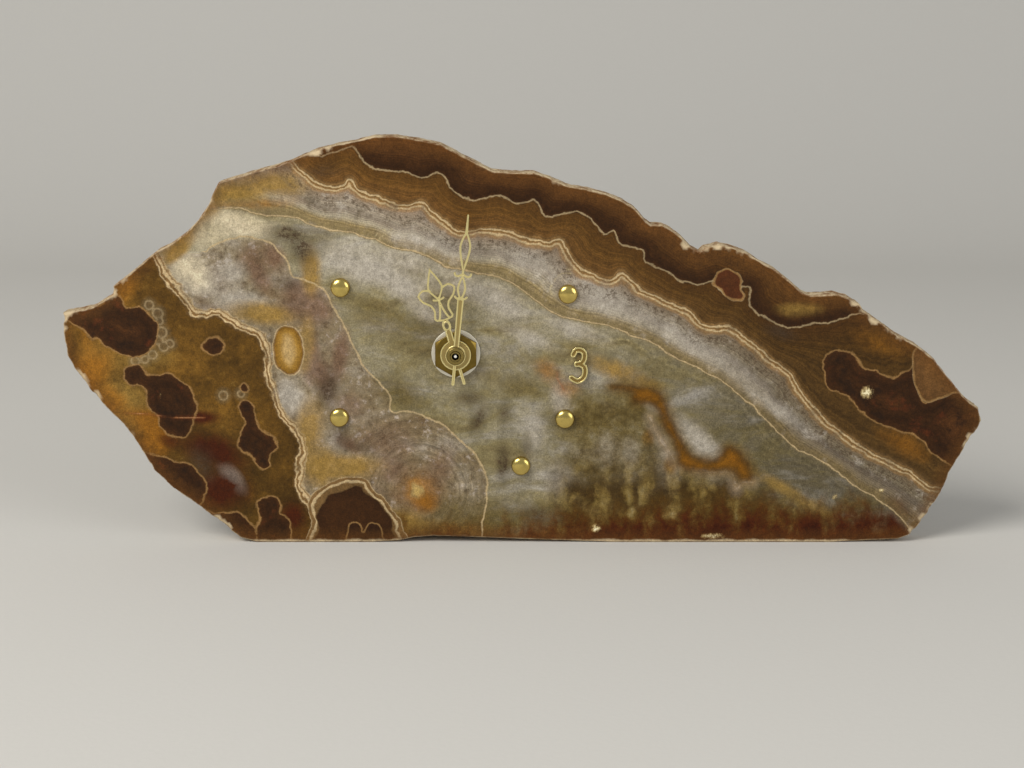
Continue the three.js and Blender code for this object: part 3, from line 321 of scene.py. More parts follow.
CHOCOLATE_SPOTS = {
    "tip": [
        (-124, 74), (-116, 76.5), (-111.5, 75.5), (-109, 76), (-107, 79), (-103.5, 78.5),
        (-101.5, 75.5), (-98, 75.5), (-95.5, 74), (-93.5, 72), (-92, 68.5), (-93, 64.5), (-95.5, 61.5),
        (-98.5, 60), (-102.5, 60.5), (-106, 62), (-109, 64), (-110.5, 66), (-112.5, 65), (-115, 67.5),
        (-119.5, 71),
    ],
    "shoulder": [
        (-103, 55), (-101, 57), (-98.5, 57), (-96.5, 54.5), (-94.5, 53.5), (-90.5, 54.5), (-87, 53),
        (-84, 50.5), (-81.5, 46.5), (-81, 43), (-82, 38.5), (-84, 35.5), (-87, 34), (-90, 35.5),
        (-92.5, 38), (-93, 41), (-95.5, 43), (-96.5, 45.5), (-96.5, 48.5), (-99, 51), (-101.5, 51),
    ],
    "eye": [
        (-78.5, 63.5), (-76.5, 65.5), (-74, 66), (-72, 64.5), (-72, 62), (-74.5, 60.5), (-77, 61.5),
    ],
    "drop": [
        (-67.5, 45), (-65.5, 46), (-63.5, 45), (-63, 42), (-62, 38), (-59.5, 36), (-57.5, 34),
        (-56.5, 30.5), (-58.5, 28), (-58.5, 25), (-60.5, 23.5), (-62.5, 25), (-64.5, 28.5),
        (-67, 29.5), (-68.5, 31.5), (-67.5, 36), (-65.5, 39), (-67, 42),
    ],
    "hip": [
        (-99.5, 29.5), (-93.5, 28), (-90, 27), (-85.5, 26), (-82, 23.5), (-79.5, 19.5), (-79, 16),
        (-81, 12.5), (-85, 11.5), (-91.5, 16), (-97, 21),
    ],
    "heel": [
        (-80.5, 10.5), (-76.5, 9.5), (-72, 9.5), (-68.5, 9.5), (-65.5, 6.5), (-63.5, 3.5), (-64, -3),
        (-70, -3), (-77, 1.5), (-82, 7),
    ],
    "toe": [
        (-62.5, 13.5), (-60, 14.5), (-57, 14), (-55.5, 11.5), (-56, 9.5), (-53.5, 7.5), (-52.5, 4),
        (-53.5, -3), (-61.5, -3), (-63.5, 4), (-62, 7.5), (-62.5, 10.5),
    ],
    "seed": [
        (-67, 50.5), (-66, 51.5), (-65, 50.5), (-65, 49), (-66.5, 49),
    ],
    "right": [
        (114.5, 55), (114, 58), (116, 60.5), (119.5, 61.5), (123, 60.5), (125, 57.5), (128, 55.5),
        (131.5, 55), (136, 53), (139, 54.5), (141.5, 56.5), (142.5, 60), (144, 61.5), (143, 57),
        (143.5, 52.5), (144, 48.5), (146, 45.5), (149, 46), (152, 48), (157, 48.5), (166.5, 45.5),
        (168.5, 41), (162, 30), (159.5, 27), (156, 25), (153.5, 26.5), (148.5, 29.5), (147, 33),
        (144, 34.5), (140, 36), (136.5, 37), (132.5, 38.5), (129, 40.5), (126.5, 42.5), (124.5, 45),
        (122, 47), (119, 48.5), (116, 50.5),
    ],
}
HONEY_OVAL = [
    (-56, 65), (-54.5, 68.5), (-52, 69), (-49.5, 68), (-48, 65), (-47.5, 60.5), (-48.5, 57),
    (-50.5, 54.5), (-53.5, 55), (-55.5, 57.5), (-56.5, 61.5),
]
TAN_WEDGE = [
    (143, 62.5), (142, 56), (144, 48.5), (146.5, 45.5), (150, 46.5), (155, 48.5), (160.5, 49.5),
    (151.5, 63),
]
RUST_NUB = [
    (80, 85), (82.5, 87), (85.5, 86.5), (88, 84), (88, 81.5), (89, 79), (87, 77.5), (84, 78.5),
    (81.5, 81), (79, 82.5),
]
AMBER_VEIN = [
    (48.5, 50.5), (54, 50.5), (59.5, 50), (63, 48.5), (64.5, 45.5), (66, 41.5), (67.5, 38), (69.5, 34),
    (72, 30), (75, 27), (79.5, 26), (82.5, 27), (84, 30), (85.5, 30.5), (89, 29), (91, 25.5),
    (92.5, 22), (92, 20.5), (89.5, 21), (87, 23.5), (83.5, 24), (79, 23.5), (74.5, 24), (70.5, 25.5),
    (69.5, 29), (68, 33.5), (65.5, 37), (64, 41), (62.5, 44.5), (60.5, 45.5), (56.5, 46), (55, 47),
    (55.5, 48.5), (52, 49.5),
]
VEIN_SKIN = [
    (60.5, 40.5), (62.5, 36), (66.5, 29.5), (70, 25), (73, 24.5), (77, 23.5), (81.5, 23), (85, 23),
    (87, 21.5), (88, 17), (89.5, 19.5), (93, 19.5),
]
MOSS_BED = [
    (34, 48), (40, 50.5), (46.5, 51), (57, 49.5), (62.5, 45), (65, 38), (67.5, 31.5), (72, 26),
    (78, 24), (85, 26), (90.5, 24), (94, 19.5), (105, 14), (116.5, 8), (131, 2), (140, -1), (32.5, -1),
    (29, 7.5), (30, 20.5), (32.5, 33.5), (31.5, 41.5),
]
CAVE_KNOT = [
    (-34, -1), (-34.5, 4.5), (-33, 6.5), (-30.5, 6), (-29.5, 3.5), (-28.5, 5.5), (-27, 6.5),
    (-25, 5.5), (-23.5, 2.5), (-24, -1),
]
# Small round bubbles: across, up and radius
BUBBLES = [
    (-94.5, 76, 1.3), (-92, 73.5, 1.5), (-91.5, 71, 1.0), (-91, 67.5, 1.6), (-92, 65, 1.2),
    (-90.5, 63, 1.4), (-88.5, 64, 1.1), (-94, 60.5, 1.3), (-96.5, 59, 1.1), (-99.5, 58.5, 1.2),
    (-67, 48, 1.0), (-72.5, 47.5, 1.3),
]
CRACKS = [
    [(-103.5, 42), (-95.5, 41.5), (-88, 40.5), (-78.5, 40.5)],
    [(33.5, 49.5), (32.5, 51.5), (31.5, 53), (31.5, 55)],
]
GLUE_MARKS = [
    [(29.5, 79.5), (29.5, 82), (31, 84.5), (33, 86), (36, 86)],
    [(34, 87.5), (36, 87)],
    [(-24.5, 97.5), (-23, 99), (-21.5, 99.5), (-21, 98.5), (-19.5, 99.5)],
    [(-23.5, 96), (-22.5, 97.5), (-21, 98)],
]

# Soft clouds of colour: across, up, half width, half height, tilt in degrees, strength
CLOUDS = {
    "milk": [
        (-27, 86.5, 9.5, 3, -14, 0.8), (-15.5, 90.5, 16, 3.5, -10, 0.5), (-16, 81.5, 5, 3, -30, 0.8),
        (4.5, 81, 16, 3.5, -12, 0.5), (46, 77.5, 11, 4, -22, 0.6), (22, 90.5, 8, 3, -15, 0.5),
        (-52, 47, 3, 4.5, 10, 0.9), (-45.5, 38.5, 3, 5, 0, 0.7), (75, 34, 8.5, 3, -40, 0.6),
        (77, 31, 4.5, 2.5, -40, 0.45), (61, 44, 3.5, 1.4, -30, 0.5), (47, 30, 3, 4, 0, 0.75),
        (54.5, 29, 2.5, 4, 0, 0.7), (65.5, 26, 2.5, 3.5, 0, 0.8), (66.5, 19.5, 2.8, 3.5, 0, 0.8),
        (32, 21, 4, 4.5, 0, 0.7), (32.5, 46, 2.5, 5, 10, 0.6), (24.5, 35, 3, 6, 0, 0.5),
        (-78.5, 84, 5, 4, 0, 0.8), (-66.5, 77.5, 7, 2.5, -10, 0.8), (14, 76, 8, 3, -30, 0.5),
        (37, 68.5, 9, 2.5, -20, 0.5), (22, 66, 9, 2, -22, 0.45), (-7.5, 94.5, 12, 3, -12, 0.6),
        (75.5, 62, 19, 3, -30, 0.5),
        (-34, 91.5, 9, 3.5, 0, 0.5), (-70.5, 21, 2.2, 4.5, 35, 0.75), (-8, 74, 5, 2.5, -20, 0.6),
        (100, 43, 14, 2, -33, 0.5), (-69, 86.5, 4, 3.5, 0, 0.5),
    ],
    "cream": [
        (-80, 85.5, 4.5, 4, -40, 0.8), (-70, 103, 6, 2, 0, 0.9), (-64, 100, 9, 2.5, -5, 0.8),
        (-76, 97, 5, 2.5, 10, 0.6), (-84, 88, 3, 2, 40, 0.6),
    ],
    "honey": [
        (-59.5, 73.5, 7.5, 2.6, -10, 1), (-44.5, 87, 2.4, 5.5, 0, 0.9), (-46, 66.5, 2.2, 5, 0, 0.65),
        (-48, 58, 2.5, 3, 0, 0.4), (-112, 61, 4, 5, 0, 0.5), (106, 74.5, 6, 2, 0, 0.6),
        (-46.5, 36, 3.5, 8, -15, 1), (-35.5, 24.5, 9, 3, 0, 1),
        (-42, 24, 4, 5, 0, 0.9), (-18, 6.5, 6, 3.5, 0, 0.9), (51, 55, 10, 2.5, -20, 0.7),
        (-64, 111.5, 12.5, 3, 14, 0.8), (-52, 113, 7.5, 2.5, -10, 0.6),
        (101, 18.5, 10, 2, -30, 0.4), (114, 10.5, 9, 2, -30, 0.35), (-85.5, 92.5, 4, 1.6, 40, 1),
        (-85, 98.5, 4, 3, 35, 1), (-78, 106, 5, 3, 20, 0.9), (-4, 3, 8, 3, 0, 0.7),
        (-104, 44, 7, 7, 0, 0.8), (-97, 60, 8, 4, 0, 0.5),
    ],
    "amber": [
        (-114, 54, 4, 8, -30, 0.9), (-107.5, 45.5, 5, 3.5, -40, 0.8), (-94, 33, 3.5, 4, -25, 1),
        (-96, 39, 5, 3, -25, 0.95), (-102.5, 81, 5, 3, 35, 0.5), (-114, 65, 2.5, 6, -10, 0.35),
        (67, 25, 1.6, 2.2, 0, 0.9), (60, 34, 1.6, 2.5, 0, 0.6), (28.5, 55.5, 4.5, 3, -30, 0.4),
        (35, 49.5, 4, 2.5, 0, 0.35), (-9.5, 13, 3, 2.5, 0, 0.9), (-61, 107, 12.5, 1.6, 5, 0.4),
        (148, 57, 4, 7, 20, 0.5), (132, 64, 10, 4, -20, 0.2), (140, 32, 8, 3, -30, 0.4),
    ],
    "rose": [
        (-61, 87, 2.4, 6, 20, 0.9), (-56, 91, 3, 4, 30, 0.8), (-48, 79.5, 5, 4, 0, 0.8),
        (-36, 60, 2, 7, -12, 0.9), (-41.5, 54, 2, 5, 10, 0.8), (-44, 63, 1.6, 5, 0, 0.6),
        (-34, 32, 3, 1.6, -30, 0.8), (-48, 74.5, 6, 2.5, 0, 0.7), (-66, 89.5, 2, 3, 0, 0.3),
        (-22.5, 33.5, 8, 5, 0, 0.45), (-33, 44.5, 5, 4, 0, 0.4), (-5, 24, 4, 7, -20, 0.4),
        (-20, 24, 4, 4, 0, 0.5), (-42, 74.5, 4, 4, 0, 0.55), (-45, 55, 2.5, 4, 0, 0.5),
    ],
    "rust": [
        (-76, 30, 8, 4, -20, 0.9), (-74, 17, 7, 5, 0, 0.9), (-90, 33, 3, 2, -20, 0.5),
        (-51.5, 7, 3.5, 5, 0, 0.9), (138, 10, 5, 4, -40, 0.5), (-88, 14, 6, 3, -30, 0.8),
        (-80, 40.5, 4.5, 1.6, 0, 0.8), (-112, 74, 6, 2, -20, 0.4),
    ],
    "moss": [
        (45, 39.5, 12, 6, 0, 0.8), (-11.5, 3.5, 18, 3, 0, 0.7), (-0.5, 10, 8, 4.5, 0, 0.6),
        (-23.5, 71.5, 10, 5, -25, 0.55), (-8, 68, 6, 7, 0, 0.5), (-17.5, 48, 8, 4, -30, 0.7),
        (20, 51, 9, 3, -10, 0.5), (13.5, 7.5, 10, 5, 0, 0.8), (19, 60, 12, 3, -20, 0.25),
        (5, 57, 8, 3, -15, 0.4), (40, 62, 12, 2.5, -18, 0.2), (56, 38, 7, 5, 0, 0.6),
    ],
    "dusk": [
        (-52.5, 98.5, 5.5, 2.4, -5, 1), (-47, 93, 3, 4, 20, 0.9), (-51, 82.5, 3, 2, 0, 0.6),
        (-40, 49.5, 3, 5, -10, 0.9), (7, 40, 2, 4, -30, 0.9), (14.5, 26, 2, 6, 0, 0.8),
        (-40.5, 98.5, 4, 6, -20, 0.4), (4.5, 46.5, 4, 2, 0, 0.7), (15, 42, 2, 4, 0, 0.6),
        (26, 9, 6, 3, 0, 0.8), (-36, 35, 3, 4, 0, 0.6), (-30, 31, 5, 2, 0, 0.5),
        (100.5, 67.5, 4.5, 2, -20, 0.9), (-40, 117.5, 5, 2, 10, 0.6), (-80, 25.5, 3.5, 5, 20, 0.85),
        (-50, 62, 1.5, 5, 0, 0.6), (22, 31, 2, 4, 0, 0.5),
    ],
    # Painted glints, mostly: small bright spots that stand in for light caught in the stone
    "glint": [
        (128, 48.5, 1.9, 1.9, 0, 1), (133.5, 17, 0.8, 0.8, 0, 0.8), (119, 15, 1.2, 0.9, 30, 0.6),
        (44, 4.5, 1.4, 1.4, 0, 0.9), (81, 2, 4, 1, 0, 0.8), (-92, 47.5, 0.5, 1.6, 0, 0.5),
        (-92.5, 66, 0.5, 1, 0, 0.5), (138, 66.5, 1, 0.8, 0, 0.8),
    ],
}
# Middle of the amber glow near the foot, with rings round it
GLOW_CENTRE = (-12.2, 16.8)

# Lines that part the zones, each with corners that close it round the side that counts as past it
LINES = {
    "above_rim": (RIM_LINE, [(300, 73), (300, 300), (-60, 300), (-60, 124)]),
    "above_band": (CREAM_BAND, [(300, 17), (300, 300), (-52, 300)]),
    "above_smoke": (SMOKE_LINE, [(300, 0), (300, 300), (-150, 300), (-150, 106)]),
    "left_side": (LEFT_BAND, [(-45, -60), (-300, -60), (-300, 200), (-96, 200)]),
    "pink_side": (PINK_LINE, [(7, -60), (-300, -60), (-300, 90), (-110, 90)]),
}
LOOPS = {
    "cave": CAVE_RING, "cave_heart": CAVE_HEART, "oval_depth": HONEY_OVAL, "wedge_depth": TAN_WEDGE,
    "nub_depth": RUST_NUB, "vein_depth": AMBER_VEIN, "bed_depth": MOSS_BED, "knot_depth": CAVE_KNOT,
}
STROKES = {"vein_skin": [VEIN_SKIN], "crack": CRACKS, "glue": GLUE_MARKS}

# Names of the fields that the slab's mesh carries for its material
FIELD_NAMES = (
    *LINES, *LOOPS, *STROKES, *CLOUDS, "growth", "spot_depth", "bubble", "glow", "edge_depth", "rind", "chip",
)


def smoothed(points, closed=False, cuts=4):
    """A smooth curve through given points, as a finer list of points."""
    given = np.array(points, float)
    count = len(given)
    if closed:
        padded = np.vstack([given[-1:], given, given[:2]])
        spans = count
    else:
        padded = np.vstack([2 * given[:1] - given[1:2], given, 2 * given[-1:] - given[-2:-1]])
        spans = count - 1
    steps = np.arange(cuts)[:, None] / cuts
    fine = []
    for i in range(spans):
        a, b, c, d = padded[i:i + 4]
        fine.append(
            0.5 * (2 * b + (c - a) * steps + (2 * a - 5 * b + 4 * c - d) * steps ** 2
                   + (3 * b - a - 3 * c + d) * steps ** 3)
        )
    if not closed:
        fine.append(given[-1:])
    return np.vstack(fine)


def distance_to(places, line, closed=False):
    """Distance from each place to a line of points."""
    ends = np.vstack([line[1:], line[:1]]) if closed else line[1:]
    starts = line if closed else line[:-1]
    best = np.full(len(places), 1e9)
    for start, end in zip(starts, ends):
        along = end - start
        reach = np.clip(((places - start) @ along) / max(along @ along, 1e-12), 0, 1)
        off = places - start - reach[:, None] * along
        np.minimum(best, (off * off).sum(1), out=best)
    return np.sqrt(best)


def is_inside(places, loop):
    """True for each place inside a closed loop of points."""
    result = np.zeros(len(places), bool)
    for (ax, az), (bx, bz) in zip(loop, np.roll(loop, -1, 0)):
        if az == bz:
            continue
        crosses = (az > places[:, 1]) != (bz > places[:, 1])
        meets = ax + (places[:, 1] - az) * (bx - ax) / (bz - az)
        result ^= crosses & (places[:, 0] < meets)
    return result


def is_within(places, loops):
    """True for each place inside the loops and outside the holes in them."""
    return np.logical_xor.reduce([is_inside(places, loop) for loop in loops])


def depth_past(places, points, corners=()):
    """Distance past a line, positive on the side of the corners, or inside a closed loop without them."""
    closed = not corners
    line = smoothed(points, closed)
    loop = np.vstack([line, np.array(corners, float)]) if corners else line
    return np.where(is_inside(places, loop), 1, -1) * distance_to(places, line, closed)


def soft_step(values, low, high):
    """A smooth rise from 0 at low to 1 at high."""
    reach = np.clip((values - low) / (high - low), 0, 1)
    return reach * reach * (3 - 2 * reach)


def pattern_fields(places, edge_depth):
    """The fields that the stone's material reads, worked out at each place on the slab."""
    fields = {name: depth_past(places, line, corners) for name, (line, corners) in LINES.items()}
    for name, loop in LOOPS.items():
        fields[name] = depth_past(places, loop)
    for name, strokes in STROKES.items():
        fields[name] = np.min([distance_to(places, smoothed(line)) for line in strokes], 0)
    above_rim, above_band, above_smoke = (fields[name] for name in ("above_rim", "above_band", "above_smoke"))
    left_side = fields["left_side"]

    # From 0 at the edge over 1, 2 and 3 at the three lines into the middle, where a unit is 60 mm
    fields["growth"] = np.select(
        [above_rim > 0, above_band > 0, above_smoke > 0],
        [
            edge_depth / (edge_depth + above_rim + 1e-6),
            1 - above_rim / (above_band - above_rim + 1e-6),
            2 - above_band / (above_smoke - above_band + 1e-6),
        ],
        3 - above_smoke / 60,
    )
    zones = [
        above_rim,
        np.minimum(-above_rim, above_band),
        np.minimum(-above_band, above_smoke),
        left_side,
        np.minimum(-above_smoke, -left_side),
    ]
    fields["edge_depth"] = edge_depth
    fields["pink_side"] = np.minimum(fields["pink_side"], -above_smoke)
    fields["spot_depth"] = np.max([depth_past(places, loop) for loop in CHOCOLATE_SPOTS.values()], 0)
    bubbles = [r - np.hypot(*(places - np.array([x, z])).T) for x, z, r in BUBBLES]
    fields["bubble"] = np.max(bubbles, 0)
    fields["glow"] = np.hypot(*(places - np.array(GLOW_CENTRE)).T)
    for name, clouds in CLOUDS.items():
        clear = np.ones(len(places))
        for across, up, wide, high, tilt, strength in clouds:
            turn = math.radians(tilt)
            off = places - np.array([across, up])
            u = (off[:, 0] * math.cos(turn) + off[:, 1] * math.sin(turn)) / wide
            v = (off[:, 1] * math.cos(turn) - off[:, 0] * math.sin(turn)) / high
            weight = strength * np.exp(-0.8 * (u * u + v * v))
            middle = np.argmin((off * off).sum(1))
            home = max(zones, key=lambda zone: zone[middle])
            clear *= 1 - weight * soft_step(home, -0.2, 0.8)
        fields[name] = 1 - clear
    return fields


# Sizes and colours that may change

class StoneSettings(bpy.types.PropertyGroup):
    """Sizes and colours of the agate."""

    face_spacing: length("Face spacing", "Distance between the points of the polished front", 0.75, 0.5, 4)
    back_spacing: length("Back spacing", "Distance between the points of the sawn back", 1.1, 0.5, 4)
    rind_depth: length("Rind depth", "How deep the broken edge is pitted", 0.55, 0, 2)
    chip_depth: length("Chip depth", "How far chips bite into the front edge", 0.9, 0, 3)
    gloss: share("Roughness", "Roughness of the polished face", 0.24)
    chocolate: hue("Chocolate", "Dark brown agate of the spots and the outer rim", "#341d09")
    cream: hue("Cream", "Cream lines", "#c6ac80")
    tan: hue("Tan", "Darker lines inside the cream bands", "#7f6038")
    milk: hue("Milk", "Milky clouds", "#aaa193")
    smoke: hue("Smoke", "Smoky middle", "#8a8063")
    honey: hue("Honey", "Honey agate on the left", "#5f4214")
    gold: hue("Gold", "Golden patches", "#8f7034")
    amber: hue("Amber", "Orange patches at the left edge", "#8c5a16")
    rust: hue("Rust", "Dark red-brown stain along the foot", "#3f1803")
    moss: hue("Moss", "Brown-green wisps", "#5e4e24")
    dusk: hue("Dusk", "Grey-brown specks", "#3f3021")
    rind: hue("Rind", "Pale chipped rind", "#d0ba94")


class MetalSettings(bpy.types.PropertyGroup):
    """Colours and sizes of the brass and nickel fittings."""

    brass: hue("Brass", "Bright lacquered brass", "#efdf9e")
    aged: hue("Aged brass", "Dull turned brass", "#93804a")
    nickel: hue("Nickel", "Nickel plate", "#e9e3d2")
    stud_diameter: length("Stud diameter", "Width of an hour stud", 6.0, 1, 20)
    stud_height: length("Stud height", "Height of an hour stud's dome", 1.9, 0.2, 6)
    stud_fullness: share("Stud fullness", "1 is half a ball, less is flatter on top", 0.62)
    stud_brass: hue("Stud brass", "Brass of the domed studs", "#d6bd6c")
    edge_break: length("Edge break", "Polished edge of the stamped hands", 0.16, 0.01, 0.3)
    hand_rim: length("Hand rim", "Flat rim round the coined parts of the hands", 0.28, 0.05, 0.5)
    rim_height: length("Rim height", "How far a rim stands above the coined middle", 0.12, 0.02, 0.3)
    nut: hue("Nut", "Tarnished brass of the hexagon nut", "#7d672f")


class MovementSettings(bpy.types.PropertyGroup):
    """Colours and sizes of the movement behind the slab."""

    plastic: hue("Case plastic", "Black moulded plastic", "#28282b")
    wheel_plastic: hue("Wheel plastic", "White acetal of the wheels", "#dedbd0")
    wire: hue("Coil wire", "Enamelled copper wire", "#9a4a22")
    board: hue("Board", "Solder resist on the circuit board", "#1f5a34")
    sleeve: hue("Cell sleeve", "Plain sleeve on the battery cell", "#44566a")
    wire_turns: bpy.props.IntProperty(
        name="Wire turns", description="Turns of wire that show on the coil", default=44, min=4, max=200
    )
    wire_diameter: length("Wire diameter", "Far coarser than real, so that it shows", 0.34, 0.1, 1)


class StudioSettings(bpy.types.PropertyGroup):
    """Floor, light and camera."""

    floor: hue("Floor", "Pale floor and backdrop", "#c9c6bf")
    key_power: bpy.props.FloatProperty(
        name="Key lamp", description="Power of the large lamp on the upper left", default=17.0, min=0,
        subtype="POWER", unit="POWER"
    )
    fill_power: bpy.props.FloatProperty(
        name="Fill lamp", description="Power of the lamp on the right", default=5.0, min=0,
        subtype="POWER", unit="POWER"
    )
    room_light: share("Room light", "Strength of the even light from all round", 0.45, 2.0)
    focal_length: bpy.props.FloatProperty(
        name="Focal length", description="Lens of the camera in millimetres", default=70.3125, min=10,
        max=300
    )
    look_down: bpy.props.FloatProperty(
        name="Look down", description="How far the camera tips down", default=math.radians(12),
        subtype="ANGLE", unit="ROTATION"
    )


class ClockSettings(bpy.types.PropertyGroup):
    """All sizes and colours of the clock."""

    stone: bpy.props.PointerProperty(type=StoneSettings)
    metal: bpy.props.PointerProperty(type=MetalSettings)
    movement: bpy.props.PointerProperty(type=MovementSettings)
    studio: bpy.props.PointerProperty(type=StudioSettings)


# Materials: stone

# Tones between the lines, from the rim (0) past each line (1, 2 and 3) into the smoky middle
LEFT_TONES = [
    (0.0, "#4f3014"), (0.6, "#452a10"), (0.99, "#321e09"), (1.01, "#4e3312"), (1.4, "#604119"),
    (1.96, "#664621"), (2.03, "#866f58"), (2.4, "#9c8f7b"), (2.52, "#918371"), (2.66, "#a3977f"),
    (2.8, "#8d7a52"), (2.97, "#8d7e58"), (3.03, "#90866a"), (3.7, "#82785c"), (4.5, "#766848"),
]
# The right-hand tones are darker: partly the stone's own tone and partly painted shade away from the light on
# the left
RIGHT_TONES = [
    (0.0, "#5c3c18"), (0.6, "#4c3010"), (0.99, "#331d08"), (1.01, "#442a0d"), (1.4, "#473010"),
    (1.96, "#4f3818"), (2.03, "#67533a"), (2.4, "#766a55"), (2.52, "#6c6051"), (2.72, "#756750"),
    (2.85, "#67583a"), (2.97, "#6a5b3c"), (3.03, "#685b44"), (3.8, "#56472a"), (4.5, "#493a1c"),
]


def agate_lines(stone):
    """The thin layers of the stone: field, waviness and stops of (millimetres, colour, cover)."""
    cream, tan, chocolate = stone.cream, stone.tan, stone.chocolate
    return (
        ("oval_depth", 0.6, [
            (-0.7, cream, 0.0), (-0.35, shade(cream, 0.8), 0.9), (-0.1, shade(tan, 0.9), 0.9),
            (0.3, "#7f5a1c", 1.0), (1.6, "#9a7430", 1.0), (3.4, "#b59661", 1.0),
        ]),
        ("above_rim", 1.0, [
            (-0.5, shade(cream, 0.4), 0.0), (-0.24, shade(cream, 0.58), 0.8),
            (0.02, shade(cream, 0.58), 0.85), (0.28, shade(chocolate, 1.2), 0.9),
            (1.0, shade(chocolate, 0.8), 0.9), (2.6, chocolate, 0.7), (5.5, chocolate, 0.0),
        ]),
        ("above_smoke", 0.8, [
            (-0.55, "#7d6c4c", 0.0), (-0.3, "#75633f", 0.6), (-0.14, shade(cream, 0.78), 0.9),
            (0.1, shade(cream, 0.78), 0.9), (0.3, "#776441", 0.5), (1.9, "#7f6b48", 0.4),
            (3.4, "#7f6b48", 0.0),
        ]),
        ("above_band", 0.9, [
            (-2.5, tan, 0.0), (-2.0, shade(tan, 1.2), 0.5), (-1.35, shade(tan, 1.25), 0.75),
            (-1.08, shade(cream, 0.75), 1.0), (-0.82, shade(cream, 0.85), 1.0),
            (-0.5, shade(tan, 1.05), 1.0), (-0.1, shade(tan, 0.85), 1.0), (0.12, shade(cream, 0.88), 1.0),
            (0.38, shade(cream, 0.75), 1.0),
            (0.66, shade(tan, 0.72), 0.95), (1.0, shade(tan, 1.05), 0.85), (1.3, shade(tan, 0.65), 0.6),
            (2.0, shade(tan, 0.6), 0.0),
        ]),
        ("left_side", 1.5, [
            (-1.9, cream, 0.0), (-1.5, shade(cream, 0.75), 0.75), (-1.15, shade(tan, 1.1), 0.9),
            (-0.85, shade(cream, 0.9), 1.0), (-0.4, shade(cream, 1.0), 1.0), (-0.08, shade(tan, 0.85), 1.0),
            (0.35, shade(tan, 1.0), 1.0), (0.6, shade(cream, 0.95), 1.0), (0.85, shade(cream, 0.85), 1.0),
            (1.15, shade(tan, 0.6), 0.9), (1.9, shade(tan, 0.5), 0.0),
        ]),
        ("cave", 0.9, [
            (-1.0, shade(tan, 0.9), 0.0), (-0.75, shade(cream, 0.75), 0.9), (-0.45, shade(tan, 0.85), 0.95),
            (0.25, shade(tan, 0.8), 1.0), (0.5, shade(cream, 0.85), 1.0), (0.95, shade(cream, 0.75), 1.0),
            (1.3, shade(tan, 0.7), 1.0),
        ]),
        ("cave_heart", 0.9, [
            (-0.2, shade(tan, 0.6), 0.0), (0.1, shade(tan, 0.55), 1.0), (0.5, shade(chocolate, 0.95), 1.0),
            (4.0, "#3a210b", 1.0),
        ]),
        ("knot_depth", 0.7, [
            (-0.35, tan, 0.0), (-0.12, shade(tan, 1.2), 0.8), (0.12, shade(tan, 1.2), 0.8),
            (0.35, "#2a1608", 0.8), (2.0, "#2a1608", 0.8),
        ]),
        ("bubble", 0.3, [
            (-1.8, "#6f5e41", 0.0), (-0.5, "#6f5e41", 0.45), (-0.15, shade(cream, 0.55), 0.7),
            (0.1, shade(cream, 0.55), 0.7), (0.35, "#6f5e43", 0.6), (1.5, "#5a482f", 0.6),
        ]),
        ("spot_depth", 1.1, [
            (-0.6, tan, 0.0), (-0.25, shade(tan, 1.15), 0.8), (-0.02, shade(tan, 1.35), 0.85),
            (0.25, shade(chocolate, 1.5), 0.95), (0.8, shade(chocolate, 1.1), 1.0),
            (3.0, shade(chocolate, 0.8), 1.0), (6.0, shade(chocolate, 1.2), 1.0),
            (9.0, shade(chocolate, 2.2), 1.0),
        ]),
        ("wedge_depth", 0.6, [
            (-0.45, cream, 0.0), (-0.15, shade(tan, 1.2), 0.85), (0.12, shade(tan, 1.2), 0.85),
            (0.4, "#5e4020", 0.95), (4.0, "#684724", 0.95),
        ]),
        ("nub_depth", 0.9, [
            (-0.45, cream, 0.0), (-0.18, shade(tan, 1.3), 0.85), (0.1, shade(tan, 1.3), 0.85),
            (0.45, "#512a12", 1.0), (3.0, "#4a2810", 1.0),
        ]),
        ("crack", 0.0, [
            (0.0, "#c29a70", 0.8), (0.14, "#94562c", 0.45), (0.5, "#5a280d", 0.2),
            (1.2, "#5a280d", 0.0),
        ]),
    )


def agate_clouds(stone):
    """The soft patches of the stone: field, colour and how much of it covers."""
    return (
        ("moss", stone.moss, 0.8), ("rose", "#6a4c38", 0.75), ("milk", stone.milk, 0.85),
        ("cream", "#c6b798", 0.8), ("honey", stone.gold, 0.9), ("amber", stone.amber, 0.85),
        ("rust", stone.rust, 1.0),
    )


# Uneven growth: the size in millimetres of what each noise draws, its detail and its roughness
UNEVENNESS = {
    "slow": (6.0, 1.0, 0.5), "fast": (1.5, 2.0, 0.5), "drift": (30.0, 2.0, 0.5), "cloud": (13.0, 4.0, 0.6),
    "patch": (5.0, 4.0, 0.62), "mottle": (2.4, 4.0, 0.68), "speck": (1.0, 4.0, 0.72),
    "grain": (0.45, 2.0, 0.6),
}

# Streaks of the smoky middle: width in millimetres, the turn that picks their noise, and width to length
STREAK_WIDTH = 8
STREAK_TURN = math.radians(24)
STREAK_STRETCH = 0.42

# Moss, in millimetres: width of a plume, of its tufts and of the curls at its edge, and how far they reach
PLUME_WIDTH = 5.5
TUFT_WIDTH = 1.6
CURL_WIDTH = 5
CURL_REACH = 6.0

# The sawn back: the places along Y, in millimetres, where it starts and is full, the direction across
# the marks of the blade, and the width of a mark in millimetres
SAWN_FROM, SAWN_FULL = SLAB_HIGH.y / MM - 0.235, SLAB_HIGH.y / MM - 0.035
SAW_DIRECTION = (0.5, 0.0, 0.85)
SAW_MARK_WIDTH = 0.9

# How deep the waves of the polish and the pits in the rind are
POLISH_WAVES = 0.2 * MM
PIT_DEPTH = 0.4 * MM


